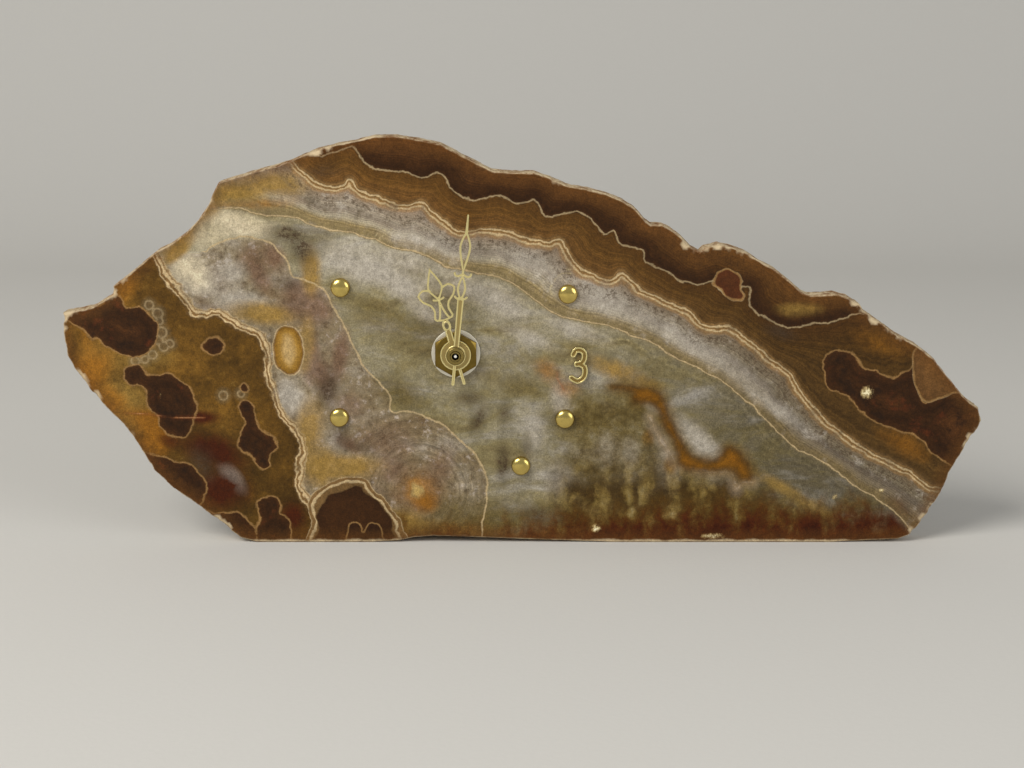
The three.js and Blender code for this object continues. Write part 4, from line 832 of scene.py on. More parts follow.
class AgateLayers:
    """The colour of the sawn agate, laid down layer by layer, and what its layers share."""

    def __init__(self, stone):
        """Adds the fields, noises and masks that more than one layer reads."""
        self.stone = stone
        self.material, self.tree = blank_material("Agate, sawn and polished")
        self.colour = linear("#000000")
        tree = self.tree
        place = self.place = object_millimetres(tree)
        self.spot = add(tree, "ShaderNodeSeparateXYZ", {0: place})
        self.fields = {
            name: add(tree, "ShaderNodeAttribute", attribute_name=name)["Fac"] for name in FIELD_NAMES
        }
        self.noises = {}
        for name, (size, detail, roughness) in UNEVENNESS.items():
            settings = {"Vector": place, "Scale": 1 / size, "Detail": detail, "Roughness": roughness}
            self.noises[name] = add(tree, "ShaderNodeTexNoise", settings)[0]
        self.wave = self.mixed(-1.75, slow=2.4, fast=1.1)

        # Where each zone lies, as a mask from 0 to 1: the field's value outside it and inside it
        self.masks = masks = {}
        for name, field, outside, inside in (
            ("centre", "growth", 2.96, 3.04), ("left", "left_side", -0.2, 0.3),
            ("not_left", "left_side", 0.3, -0.3), ("pink", "pink_side", -0.2, 0.6),
            ("band", "growth", 1.98, 2.04), ("not_centre", "growth", 3.02, 2.98),
            ("bed", "bed_depth", -3.0, 7.0), ("in_spot", "spot_depth", 0.5, 1.5),
        ):
            reach = {0: self.fields[field], 1: outside, 2: inside}
            masks[name] = add(tree, "ShaderNodeMapRange", reach)[0]
        for name, first, second in (("inner", "pink", "not_left"), ("milky_band", "band", "not_centre")):
            both = {0: masks[first], 1: masks[second]}
            masks[name] = add(tree, "ShaderNodeMath", both, operation="MULTIPLY")[0]

        # The back of the slab, and the way the saw ran across it
        self.sawn = add(tree, "ShaderNodeMapRange", {0: self.spot["Y"], 1: SAWN_FROM, 2: SAWN_FULL})[0]
        stroke = {0: place, 1: SAW_DIRECTION}
        stroke = add(tree, "ShaderNodeVectorMath", stroke, operation="DOT_PRODUCT")["Value"]

        # Bands and rings: what they follow, how many there are to its unit, detail and roughness
        growth = weighted(tree, 0.0, (self.fields["growth"], 1.0), (self.wave, 0.035))
        for name, along, scale, detail, roughness in (
            ("fine bands", growth, 26.0, 1.5, 0.7), ("wide bands", growth, 9.0, 1.5, 0.7),
            ("glow rings", self.past("glow", 1.0), 0.55, 3.0, 0.6),
            ("spot rings", self.past("spot_depth", 1.5), 1.1, 3.0, 0.65),
            ("saw marks", stroke, 1 / SAW_MARK_WIDTH, 2.0, 0.7),
        ):
            settings = {"W": along, "Scale": scale, "Detail": detail, "Roughness": roughness}
            self.noises[name] = add(tree, "ShaderNodeTexNoise", settings, noise_dimensions="1D")[0]

    def mixed(self, start, **weights):
        """A starting number plus each named noise times its weight."""
        return weighted(self.tree, start, *((self.noises[name], part) for name, part in weights.items()))

    def past(self, name, waviness):
        """A field of the slab in millimetres, with wavy edges."""
        return weighted(self.tree, 0.0, (self.fields[name], 1.0), (self.wave, waviness))

    def lay(self, value, stops, mask=1.0):
        """Lays colours over the stone, as a value passes through stops of (value, colour, cover)."""
        self.colour = lay(self.tree, self.colour, value, stops, mask)

    def shadow(self, value, stops, mask=1.0):
        """Darkens and lightens the stone, through stops of (value, level, cover); 0.5 changes nothing."""
        greys = [(at, (level, level, level), cover) for at, level, cover in stops]
        self.colour = lay(self.tree, self.colour, value, greys, mask, "OVERLAY")

    def ground(self):
        """Even tones between the lines, darker and browner to the right, partly the stone's own tone and
        partly painted shade, and fine bands along them.
        """
        tree, fields, masks = self.tree, self.fields, self.masks
        away = add(tree, "ShaderNodeMath", {0: fields["growth"], 1: 0.5}, operation="PINGPONG")[0]
        growth = {0: self.mixed(-0.48, cloud=0.6, patch=0.36), 1: away, 2: fields["growth"]}
        growth = add(tree, "ShaderNodeMath", growth, operation="MULTIPLY_ADD")[0]
        # Towards the right the tones turn darker: partly the stone's own tone, partly painted shade
        tone_and_shade_rightwards = {0: self.spot["X"], 1: -20.0, 2: 105.0}
        tone_and_shade_rightwards = add(tree, "ShaderNodeMapRange", tone_and_shade_rightwards, interpolation_type="SMOOTHSTEP")[0]
        for tones, mask in ((LEFT_TONES, 1.0), (RIGHT_TONES, tone_and_shade_rightwards)):
            self.lay(growth, [(at, tint, 1.0) for at, tint in tones], mask)

        # Smoky middle: drifting grey and olive streaks, over twice as long across the slab as they are high
        flow = {0: self.place, "Rotation": (0, STREAK_TURN, 0), "Scale": (STREAK_STRETCH, 1, 1)}
        flow = add(tree, "ShaderNodeMapping", flow)[0]
        marble = add(
            tree, "ShaderNodeTexNoise",
            {"Vector": flow, "Scale": 1 / STREAK_WIDTH, "Detail": 4.0, "Roughness": 0.6, "Distortion": 0.5}
        )[0]
        self.lay(marble, [
            (0.3, "#655635", 0.8), (0.41, "#7f7148", 0.6), (0.5, self.stone.smoke, 0.25),
            (0.58, "#98907f", 0.5), (0.7, "#a9a297", 0.75),
        ], masks["centre"])
        # Painted shade, with some of the stone's own tone: the smoky middle darkens to the right, away from
        # the light on the left
        self.shadow(self.spot["X"], [(0.0, 0.5, 0.0), (60.0, 0.36, 1.0), (120.0, 0.26, 1.0)], masks["centre"])
        self.lay(self.noises["patch"], [
            (0.34, "#6d604a", 0.55), (0.45, "#8b7c68", 0.0), (0.55, "#958a7a", 0.0), (0.68, "#b1a798", 0.6),
        ], masks["milky_band"])

        # Bands along the lines, from two millimetres down to a few tenths apart
        faded = {0: fields["growth"], 1: 3.12, 2: 3.0, 3: 0.12, 4: 1.0}
        faded = add(tree, "ShaderNodeMapRange", faded)[0]
        for name, dark, light in (("fine bands", 0.4, 0.58), ("wide bands", 0.44, 0.56)):
            self.shadow(self.noises[name], [(0.34, dark, 1.0), (0.66, light, 1.0)], faded)

    def honey_left(self):
        """Clear honey agate outside the left cream band, darker towards its foot."""
        honey, left = self.stone.honey, self.masks["left"]
        self.lay(self.noises["cloud"], [
            (0.32, shade(honey, 0.5), 1.0), (0.43, shade(honey, 0.8), 1.0), (0.52, honey, 1.0),
            (0.6, shade(honey, 1.25), 1.0), (0.7, shade(honey, 1.7), 1.0),
        ], left)
        self.lay(self.noises["mottle"], [
            (0.36, shade(honey, 0.6), 0.4), (0.47, honey, 0.0), (0.56, honey, 0.0),
            (0.7, shade(self.stone.gold, 0.9), 0.25),
        ], left)
        self.shadow(self.spot["Z"], [(0.0, 0.27, 1.0), (30.0, 0.38, 1.0), (62.0, 0.5, 0.0)], left)

    def milky_inside(self):
        """Milky agate inside the pink line, with brown specks and rings round the glow at its foot."""
        tree, inner, glow = self.tree, self.masks["inner"], self.fields["glow"]
        self.lay(self.noises["cloud"], [
            (0.32, "#66503a", 0.75), (0.43, "#7a664e", 0.65), (0.52, "#85745f", 0.55),
            (0.6, "#968877", 0.6), (0.7, "#ada091", 0.8),
        ], inner)
        self.lay(self.noises["mottle"], [
            (0.36, "#5d4931", 0.5), (0.46, "#7b6a52", 0.0), (0.56, "#a0958a", 0.0), (0.68, "#b5aaa0", 0.5),
        ], inner)
        ringed = add(tree, "ShaderNodeMapRange", {0: glow, 1: 32.0, 2: 20.0})[0]
        ringed = add(tree, "ShaderNodeMath", {0: ringed, 1: inner}, operation="MULTIPLY")[0]
        self.shadow(self.noises["glow rings"], [(0.38, 0.37, 1.0), (0.62, 0.6, 1.0)], ringed)
        self.lay(self.past("glow", 2.2), [
            (0.0, "#b89a5a", 1.0), (1.6, "#a98c55", 0.9), (3.0, "#96672a", 0.8),
            (6.0, "#7d5a34", 0.5), (10.0, "#7a6444", 0.3), (15.0, "#7a6444", 0.0),
        ])

    def soft_patches(self):
        """Soft patches, torn by noise so that no edge is a plain oval, and clusters of brown specks."""
        tree, stone = self.tree, self.stone
        tear = self.mixed(-0.6, cloud=1.2, patch=1.3, mottle=1.0)
        for name, tint, cover in agate_clouds(stone):
            amount = add(tree, "ShaderNodeMath", {0: self.fields[name], 1: tear}, operation="MULTIPLY")[0]
            self.lay(amount, [(0.08, tint, 0.0), (0.4, tint, cover * 0.6), (0.8, tint, cover)])
        dusky = add(tree, "ShaderNodeMath", {0: self.fields["dusk"], 1: tear}, operation="MULTIPLY")[0]
        specks = {0: self.noises["speck"], 1: 0.44, 2: 0.58, 3: 0.55, 4: 1.0}
        specks = add(tree, "ShaderNodeMapRange", specks)[0]
        self.lay(dusky, [(0.08, stone.dusk, 0.0), (0.9, stone.dusk, 0.95)], specks)

        # Brown specks just under the cream band
        specks = add(tree, "ShaderNodeMapRange", {0: self.noises["speck"], 1: 0.47, 2: 0.6})[0]
        self.lay(self.fields["above_band"], [
            (-8.5, stone.dusk, 0.0), (-5.5, stone.dusk, 0.6), (-3.0, stone.dusk, 0.8),
            (-2.0, stone.dusk, 0.0),
        ], specks)

    def moss_and_stain(self):
        """Moss plumes with golden tips, the red-brown stain along the foot, and the amber vein."""
        tree, place, spot, bed = self.tree, self.place, self.spot, self.masks["bed"]
        self.lay(self.noises["patch"], [
            (0.34, "#4a3a14", 0.85), (0.45, "#594822", 0.75), (0.55, "#665630", 0.6),
            (0.66, "#7c6f50", 0.6), (0.74, "#958b78", 0.75),
        ], bed)

        # Plumes and tufts of moss: upright cells with edges that curl
        swirl = add(tree, "ShaderNodeTexNoise", {"Vector": place, "Scale": 1 / CURL_WIDTH, "Detail": 3.0})
        swirl = {0: swirl["Color"], "Scale": CURL_REACH}
        swirl = add(tree, "ShaderNodeVectorMath", swirl, operation="SCALE")["Vector"]
        upright = add(tree, "ShaderNodeVectorMath", {0: place, 1: swirl}, operation="ADD")["Vector"]
        upright = add(tree, "ShaderNodeMapping", {0: upright, "Scale": (1, 1, 0.5)})[0]
        plume = add(
            tree, "ShaderNodeTexVoronoi",
            {"Vector": upright, "Scale": 1 / PLUME_WIDTH, "Smoothness": 0.4, "Detail": 1.0},
            feature="SMOOTH_F1"
        )["Distance"]
        tuft = add(
            tree, "ShaderNodeTexNoise",
            {"Vector": upright, "Scale": 1 / TUFT_WIDTH, "Detail": 4.0, "Roughness": 0.65, "Distortion": 0.6}
        )[0]
        low_bed = add(tree, "ShaderNodeMapRange", {0: spot["Z"], 1: 31.0, 2: 17.0})[0]
        low_bed = add(tree, "ShaderNodeMath", {0: low_bed, 1: bed}, operation="MULTIPLY")[0]
        self.lay(weighted(tree, 0.6, (plume, -0.9), (tuft, 0.5)), [
            (0.08, "#3a2708", 0.9), (0.22, "#54401a", 0.85), (0.35, "#6b5526", 0.8),
            (0.5, "#7b6535", 0.75), (0.68, "#8c7a50", 0.75),
        ], low_bed)

        # The stain climbs higher on the right, and its upper edge follows the plumes
        fading = add(tree, "ShaderNodeMapRange", {0: spot["X"], 1: -30.0, 2: 60.0, 3: 7.0, 4: 0.0})[0]
        stain = weighted(
            tree, 1.8, (spot["Z"], 1.0), (plume, -10.0), (tuft, 8.0), (self.noises["cloud"], -4.0),
            (fading, 1.0)
        )
        self.lay(stain, [
            (-3.0, "#331002", 1.0), (1.0, "#431c04", 1.0), (4.5, "#4c2a06", 0.85),
            (8.0, "#55390e", 0.5), (13.0, "#5c451a", 0.0),
        ], self.masks["centre"])

        # The vein's pale skin, and the vein
        self.lay(self.past("vein_skin", 0.6), [
            (0.0, "#a8967f", 0.75), (0.3, "#9a8468", 0.6), (1.4, "#8c7c68", 0.3), (3.0, "#8c7c68", 0.0),
        ])
        self.lay(self.past("vein_depth", 0.9), [
            (-3.6, "#6a5426", 0.0), (-1.3, "#5f4518", 0.55), (-0.1, "#55370a", 0.85),
            (1.0, "#66420c", 1.0), (2.6, "#80510d", 1.0),
        ])

    def thin_lines(self):
        """The thin layers that part the zones; the two cream bands fade in places."""
        faint = {0: self.noises["patch"], 1: 0.36, 2: 0.5, 3: 0.5, 4: 1.0}
        faint = add(self.tree, "ShaderNodeMapRange", faint)[0]
        for name, waviness, stops in agate_lines(self.stone):
            self.lay(self.past(name, waviness), stops, faint if name in ("above_band", "left_side") else 1.0)
        cream = self.stone.cream
        self.lay(self.past("pink_side", 0.7), [
            (-0.4, cream, 0.0), (-0.14, shade(cream, 0.8), 0.8), (0.1, shade(cream, 0.8), 0.8),
            (0.4, cream, 0.0),
        ], self.masks["not_left"])

    def spot_rings(self):
        """Rings and red stains inside the chocolate spots."""
        in_spot = self.masks["in_spot"]
        self.shadow(self.noises["spot rings"], [(0.35, 0.4, 1.0), (0.65, 0.62, 1.0)], in_spot)
        self.lay(self.noises["patch"], [
            (0.36, "#24150a", 0.6), (0.47, "#3a2410", 0.0), (0.56, "#4a2410", 0.0), (0.68, "#56290f", 0.7),
        ], in_spot)

    def flaws_and_edge(self):
        """Dried glue, painted glints, and the clear brown stone and pale bruises along the edge."""
        tree, stone, noises = self.tree, self.stone, self.noises
        broken = add(tree, "ShaderNodeMapRange", {0: noises["fast"], 1: 0.4, 2: 0.55, 3: 0.2, 4: 1.0})[0]
        self.lay(self.past("glue", 0.2), [
            (0.0, "#cbbd97", 0.8), (0.2, "#bcab82", 0.55), (0.5, "#a8966b", 0.0),
        ], broken)
        # Painted glints: bright golden spots standing in for light caught in the stone
        painted_sparkle = add(tree, "ShaderNodeMapRange", {0: noises["speck"], 1: 0.35, 2: 0.6, 3: 0.5, 4: 1.25})[0]
        painted_sparkle = add(tree, "ShaderNodeMath", {0: painted_sparkle, 1: self.fields["glint"]}, operation="MULTIPLY")[0]
        self.lay(painted_sparkle, [(0.3, "#a88a55", 0.0), (0.6, "#c9b27c", 0.75), (0.9, "#eadfb6", 1.0)])
        self.lay(self.past("edge_depth", 0.8), [
            (0.0, "#5d3815", 0.7), (1.5, "#603c17", 0.45), (5.0, "#664219", 0.0),
        ])
        bruised = add(tree, "ShaderNodeMapRange", {0: noises["slow"], 1: 0.42, 2: 0.54})[0]
        self.lay(self.past("edge_depth", 0.45), [
            (0.0, stone.rind, 0.95), (0.3, shade(stone.rind, 0.8), 0.8), (0.5, shade(stone.tan, 0.9), 0.4),
            (0.85, stone.tan, 0.0),
        ], bruised)
        self.lay(weighted(tree, 0.0, (self.spot["Z"], 1.0), (self.wave, 0.5)), [
            (0.4, stone.rind, 0.85), (0.8, shade(stone.rind, 0.8), 0.6), (1.3, stone.tan, 0.0),
        ])

    def mottling(self):
        """Mottling at five sizes all over."""
        for name, dark, light in (
            ("drift", 0.47, 0.53), ("patch", 0.46, 0.54), ("mottle", 0.42, 0.57), ("speck", 0.39, 0.6),
            ("grain", 0.38, 0.61),
        ):
            self.shadow(self.noises[name], [(0.32, dark, 1.0), (0.68, light, 1.0)])

    def back_and_rind(self):
        """The back, only sawn, so duller with faint marks of the blade, and the rough, pale broken edge."""
        stone, fields = self.stone, self.fields
        self.lay(self.noises["saw marks"], [
            (0.35, "#8a8273", 0.2), (0.5, "#9a9283", 0.24), (0.65, "#a59d8e", 0.3),
        ], self.sawn)
        self.lay(self.mixed(0.0, speck=0.45, patch=0.55), [
            (0.32, "#4b2c14", 1.0), (0.42, "#7d5630", 1.0), (0.54, shade(stone.rind, 0.8), 1.0),
            (0.66, stone.rind, 1.0), (0.8, "#e0cfae", 1.0),
        ], fields["rind"])
        self.lay(fields["chip"], [(0.0, stone.rind, 0.0), (1.0, stone.rind, 0.8)])

    def surface(self):
        """The stone's soft gloss, with the shallow unevenness left by polishing and pits in the rind."""
        tree, fields, noises = self.tree, self.fields, self.noises
        rough = add(tree, "ShaderNodeMath", {0: fields["rind"], 1: fields["chip"]}, operation="MAXIMUM")[0]
        gloss = weighted(
            tree, self.stone.gloss - 0.08, (noises["mottle"], 0.16), (rough, 0.45), (self.sawn, 0.3)
        )
        polish = {"Height": noises["patch"], "Strength": 0.08, "Distance": POLISH_WAVES}
        polish = add(tree, "ShaderNodeBump", polish)[0]
        pitted = add(tree, "ShaderNodeMath", {0: rough, 1: 0.9}, operation="MULTIPLY")[0]
        pits = add(
            tree, "ShaderNodeBump",
            {"Height": noises["speck"], "Strength": pitted, "Distance": PIT_DEPTH, "Normal": polish}
        )[0]
        shader = add(
            tree, "ShaderNodeBsdfPrincipled",
            {"Base Color": self.colour, "Roughness": gloss, "Normal": pits, "IOR": 1.54,
             "Specular IOR Level": 0.15}
        )["BSDF"]
        add(tree, "ShaderNodeOutputMaterial", {"Surface": shader})


def sawn_agate(stone):
    """Agate, sawn and polished on the faces and broken at the edge.

    Agate is banded chalcedony: thin cream lines between clear brown, smoky and milky layers,
    with a soft gloss. The edge keeps its rough pale rind.
    """
    layers = AgateLayers(stone)
    layers.ground()
    layers.honey_left()
    layers.milky_inside()
    layers.soft_patches()
    layers.moss_and_stain()
    layers.thin_lines()
    layers.spot_rings()
    layers.flaws_and_edge()
    layers.mottling()
    layers.back_and_rind()
    layers.surface()
    return layers.material


# Bands of the foot: width of their folds and how far a fold bends them, in millimetres, the way across
# the bands, and how many there are to a millimetre
FOLD_WIDTH = 18
FOLD_REACH = 15
BAND_DIRECTION = (0.25, 0.35, 0.9)
BAND_DENSITY = 0.22

# Scratches left by the grit of the last grinding, drawn coarse enough to show: width in mm, and depth
GRIT_SIZE = 0.5
GRIT_DEPTH = 0.2 * MM


def ground_agate(stone):
    """Agate, sawn and left ground: the foot is a plain offcut with straight bands and a dull skin."""
    material, tree = blank_material("Agate, sawn and ground")
    place = object_millimetres(tree)
    warp = add(tree, "ShaderNodeTexNoise", {"Vector": place, "Scale": 1 / FOLD_WIDTH, "Detail": 3.0})["Color"]
    bent = add(
        tree, "ShaderNodeVectorMath", {0: warp, 1: (FOLD_REACH,) * 3, 2: place}, operation="MULTIPLY_ADD"
    )["Vector"]
    level = {0: bent, 1: BAND_DIRECTION}
    level = add(tree, "ShaderNodeVectorMath", level, operation="DOT_PRODUCT")["Value"]
    bands = add(
        tree, "ShaderNodeTexNoise",
        {"W": level, "Scale": BAND_DENSITY, "Detail": 4.0, "Roughness": 0.65}, noise_dimensions="1D"
    )[0]
    colour = lay(tree, linear("#000000"), bands, [
        (0.3, "#4a3018", 1.0), (0.4, "#5d4322", 1.0), (0.47, "#695130", 1.0), (0.5, "#a8936c", 1.0),
        (0.53, "#7a6747", 1.0), (0.62, stone.smoke, 1.0), (0.72, "#9c9281", 1.0),
    ])
    grain = add(tree, "ShaderNodeTexNoise", {"Vector": place, "Scale": 1 / GRIT_SIZE, "Detail": 3.0})[0]
    gloss = add(tree, "ShaderNodeMapRange", {0: grain, 1: 0.3, 2: 0.7, 3: 0.4, 4: 0.6})[0]
    bump = {"Height": grain, "Strength": 0.25, "Distance": GRIT_DEPTH}
    bump = add(tree, "ShaderNodeBump", bump)[0]
    shader = add(
        tree, "ShaderNodeBsdfPrincipled",
        {"Base Color": colour, "Roughness": gloss, "Normal": bump, "IOR": 1.54}
    )["BSDF"]
    add(tree, "ShaderNodeOutputMaterial", {"Surface": shader})
    return material


# Materials: metal, plastic and the rest

# Share of red, green and blue light that a brown film of tarnish lets back; along the numeral's sides the
# same film is painted shade
BROWN_FILM = (0.34, 0.26, 0.16)

# Metal: width in millimetres of its dull patches, how scratches lie longer upwards, and their depth
DULL_PATCH = 2.2
WIPE_STRETCH = (1.0, 1.0, 0.18)
SCRATCH_DEPTH = 0.05 * MM

# Plastic: width in millimetres of the paler streaks where it flowed in its mould
FLOW_WIDTH = 9


def metal(name, colour, roughness, wear, scratch_size, tarnish=0.0):
    """A metal with slightly uneven gloss: small dull patches, and scratches that many wipes have left.

    Real ones are too fine to show, so the scratches are drawn a few tenths of a millimetre wide. Tarnish
    says how dull the sunk parts of a coined piece are, where no cloth reaches; on the numeral's sides the
    same brown film is painted shade.
    """
    material, tree = blank_material(name)
    place = object_millimetres(tree)
    patches = add(tree, "ShaderNodeTexNoise", {"Vector": place, "Scale": 1 / DULL_PATCH, "Detail": 3.0})[0]
    wiped = {0: place, 1: WIPE_STRETCH}
    wiped = add(tree, "ShaderNodeVectorMath", wiped, operation="MULTIPLY")[0]
    scratches = {"Vector": wiped, "Scale": 1 / scratch_size, "Detail": 2.0}
    scratches = add(tree, "ShaderNodeTexNoise", scratches)[0]
    deep = shade(colour, 0.55)
    tint = lay(tree, tuple(colour), patches, [(0.42, deep, 0.0), (0.7, deep, wear)])
    spread = add(
        tree, "ShaderNodeMapRange", {0: patches, 1: 0.3, 2: 0.7, 3: roughness * 0.8, 4: roughness * 1.35}
    )[0]
    if tarnish:
        sunk = add(tree, "ShaderNodeAttribute", attribute_name="channel")["Fac"]
        film = tuple(part * left for part, left in zip(colour, BROWN_FILM))
        tint = lay(tree, tint, sunk, [(0.3, film, 0.0), (0.9, film, tarnish)])
        spread = weighted(tree, 0.0, (spread, 1.0), (sunk, 0.2 * tarnish))
    bump = {"Height": scratches, "Strength": 0.12, "Distance": SCRATCH_DEPTH}
    bump = add(tree, "ShaderNodeBump", bump)[0]
    shader = add(
        tree, "ShaderNodeBsdfPrincipled",
        {"Base Color": tint, "Metallic": 1.0, "Roughness": spread, "Normal": bump}
    )["BSDF"]
    add(tree, "ShaderNodeOutputMaterial", {"Surface": shader})
    return material


def plastic(name, colour, roughness, texture_size, texture_height):
    """A moulded plastic: even colour, with the spark-eroded texture of its mould, coarse enough to show."""
    material, tree = blank_material(name)
    place = object_millimetres(tree)
    noises = []
    for size in (texture_size, FLOW_WIDTH):
        settings = {"Vector": place, "Scale": 1 / size, "Detail": 2.0}
        noises.append(add(tree, "ShaderNodeTexNoise", settings)[0])
    texture, flow = noises
    pale = shade(colour, 1.5)
    tint = lay(tree, tuple(colour), flow, [(0.3, pale, 0.0), (0.8, pale, 0.3)])
    spread = {0: texture, 1: 0.3, 2: 0.7, 3: roughness - 0.06, 4: roughness + 0.08}
    spread = add(tree, "ShaderNodeMapRange", spread)[0]
    bump = {"Height": texture, "Strength": 0.5, "Distance": texture_height * MM}
    bump = add(tree, "ShaderNodeBump", bump)[0]
    shader = add(
        tree, "ShaderNodeBsdfPrincipled",
        {"Base Color": tint, "Roughness": spread, "Normal": bump, "IOR": 1.5}
    )["BSDF"]
    add(tree, "ShaderNodeOutputMaterial", {"Surface": shader})
    return material


# Battery cell, in millimetres: the bare rim of its flat end, its bare stub, and places rubbed on the sleeve
BARE_RIM = 0.45
BARE_STUB = 1.7
RUBBED_PATCH = 6


def cell_skin(sleeve, plate, low, high):
    """A dry cell from low to high along X: a film sleeve shrunk round a can with bare nickel-plated ends.

    The sleeve is a satin blue-grey with paler rubbed places, and the ends shine.
    """
    material, tree = blank_material("Film sleeve on nickel-plated steel")
    place = object_millimetres(tree)
    along = add(tree, "ShaderNodeSeparateXYZ", {0: place})["X"]
    ends = []
    for edge, outwards in ((low / MM + BARE_RIM, -0.05), (high / MM - BARE_STUB, 0.05)):
        reach = {0: along, 1: edge - outwards, 2: edge + outwards}
        ends.append(add(tree, "ShaderNodeMapRange", reach)[0])
    bare = add(tree, "ShaderNodeMath", {0: ends[0], 1: ends[1]}, operation="MAXIMUM")[0]
    rubbed = add(tree, "ShaderNodeTexNoise", {"Vector": place, "Scale": 1 / RUBBED_PATCH, "Detail": 3.0})[0]
    pale = shade(sleeve, 1.3)
    tint = lay(tree, tuple(sleeve), rubbed, [(0.4, pale, 0.0), (0.8, pale, 0.6)])
    tint = lay(tree, tint, bare, [(0.4, tuple(plate), 0.0), (0.6, tuple(plate), 1.0)])
    spread = add(tree, "ShaderNodeMapRange", {0: rubbed, 1: 0.3, 2: 0.7, 3: 0.28, 4: 0.4})[0]
    shader = add(
        tree, "ShaderNodeBsdfPrincipled", {"Base Color": tint, "Metallic": bare, "Roughness": spread}
    )["BSDF"]
    add(tree, "ShaderNodeOutputMaterial", {"Surface": shader})
    return material


# Paper: size in millimetres and height of the tooth of its fibres, drawn coarse enough to show
FIBRE_SIZE = 1.6
FIBRE_HEIGHT = 0.3 * MM


def floor_paper(studio):
    """Matt paper for the floor and backdrop, with the faint tooth of its fibres."""
    material, tree = blank_material("Matt paper")
    place = object_millimetres(tree)
    fibres = add(tree, "ShaderNodeTexNoise", {"Vector": place, "Scale": 1 / FIBRE_SIZE, "Detail": 3.0})[0]
    darker = shade(studio.floor, 0.9)
    tint = lay(tree, tuple(studio.floor), fibres, [(0.3, darker, 0.0), (0.7, darker, 0.12)])
    bump = {"Height": fibres, "Strength": 0.15, "Distance": FIBRE_HEIGHT}
    bump = add(tree, "ShaderNodeBump", bump)[0]
    shader = add(
        tree, "ShaderNodeBsdfPrincipled",
        {"Base Color": tint, "Roughness": 0.9, "Normal": bump, "Specular IOR Level": 0.2}
    )["BSDF"]
    add(tree, "ShaderNodeOutputMaterial", {"Surface": shader})
    return material


# Shape of the slab

def slab_outline():
    """The slab's outline as a loop of (across, up) in metres, read from the solid."""
    bm = merged_copy("agate_slab")
    level = sorted({round(v.co.y, 6) for v in bm.verts})[1]
    ring = {
        v for v in bm.verts
        if abs(v.co.y - level) < 0.01 * MM and math.hypot(v.co.x - DIAL.x, v.co.z - DIAL.z) > HOLE_CLEAR
    }
    start = min(ring, key=lambda v: (v.co.z, v.co.x))
    loop, here, before = [], start, None
    while True:
        loop.append((here.co.x, here.co.z))
        steps = [e.other_vert(here) for e in here.link_edges if e.other_vert(here) in ring]
        ahead = [v for v in steps if v is not before]
        here, before = ahead[0], here
        if here is start:
            break
        if len(loop) > len(ring):
            raise RuntimeError("The slab's outline doesn't close")
    bm.free()
    loop = np.array(loop)
    area = np.sum(loop[:, 0] * np.roll(loop[:, 1], -1) - np.roll(loop[:, 0], -1) * loop[:, 1])
    return loop if area > 0 else loop[::-1]


def spread_along(loop, spacing):
    """Points at even distances along a closed loop, with its corners kept."""
    points = []
    for start, end in zip(loop, np.roll(loop, -1, 0)):
        count = max(1, round(np.linalg.norm(end - start) / spacing))
        points.extend(start + (end - start) * step / count for step in range(count))
    return np.array(points)


def fill_face(loops, spacing):
    """Inner points, and triangles over all points, that fill the loops evenly and leave their holes."""
    outline = np.vstack(loops)
    low, high = outline.min(0), outline.max(0)
    rows = []
    step = spacing * math.sqrt(3) / 2
    for row, up in enumerate(np.arange(low[1] + step / 2, high[1], step)):
        start = low[0] + spacing * (0.25 + 0.5 * (row % 2))
        across = np.arange(start, high[0], spacing)
        rows.append(np.column_stack([across, np.full(len(across), up)]))
    inner = np.vstack(rows)
    inner = inner[is_within(inner, loops)]
    for loop in loops:
        inner = inner[distance_to(inner, loop, True) > spacing * 0.55]
    points = np.vstack([outline, inner])
    edges, start = [], 0
    for loop in loops:
        count = len(loop)
        edges += [(start + i, start + (i + 1) % count) for i in range(count)]
        start += count
    filled = delaunay_2d_cdt([Vector(p / MM) for p in points], edges, [], 0, 1e-7, True)
    if len(filled[0]) != len(points):
        raise RuntimeError("A face couldn't be filled")
    index = [old[0] for old in filled[3]]
    triangles = np.array([[index[i] for i in face] for face in filled[2]])
    middles = points[triangles].mean(1)
    return inner, triangles[is_within(middles, loops)]


# The slab's edge, in millimetres: its broken corner as (depth behind the face, how far it is set in),
# and the depths of the rows between the two corners
CORNER = ((0.0, 0.5), (0.1, 0.28), (0.4, 0.08))
MIDDLE_DEPTHS = (1.2, 2.4, 3.8, 5.2, 6.6)

# Damage of the edge: size in millimetres of pits, bites and splinters, and of the stretches with bites
PIT_SIZE = 2.6
BITE_SIZE = 2.7
SPLINTER_SIZE = 1.1
STRETCH_SIZE = 11

# How deep behind the front a chip reaches, and the heights over which damage fades above the table
CHIP_REACH = 1.6
WHOLE_BELOW, BROKEN_ABOVE = 1.2 * MM, 4 * MM


EDGE_SPACING = 0.6 * MM
HOLE_POINTS = 96


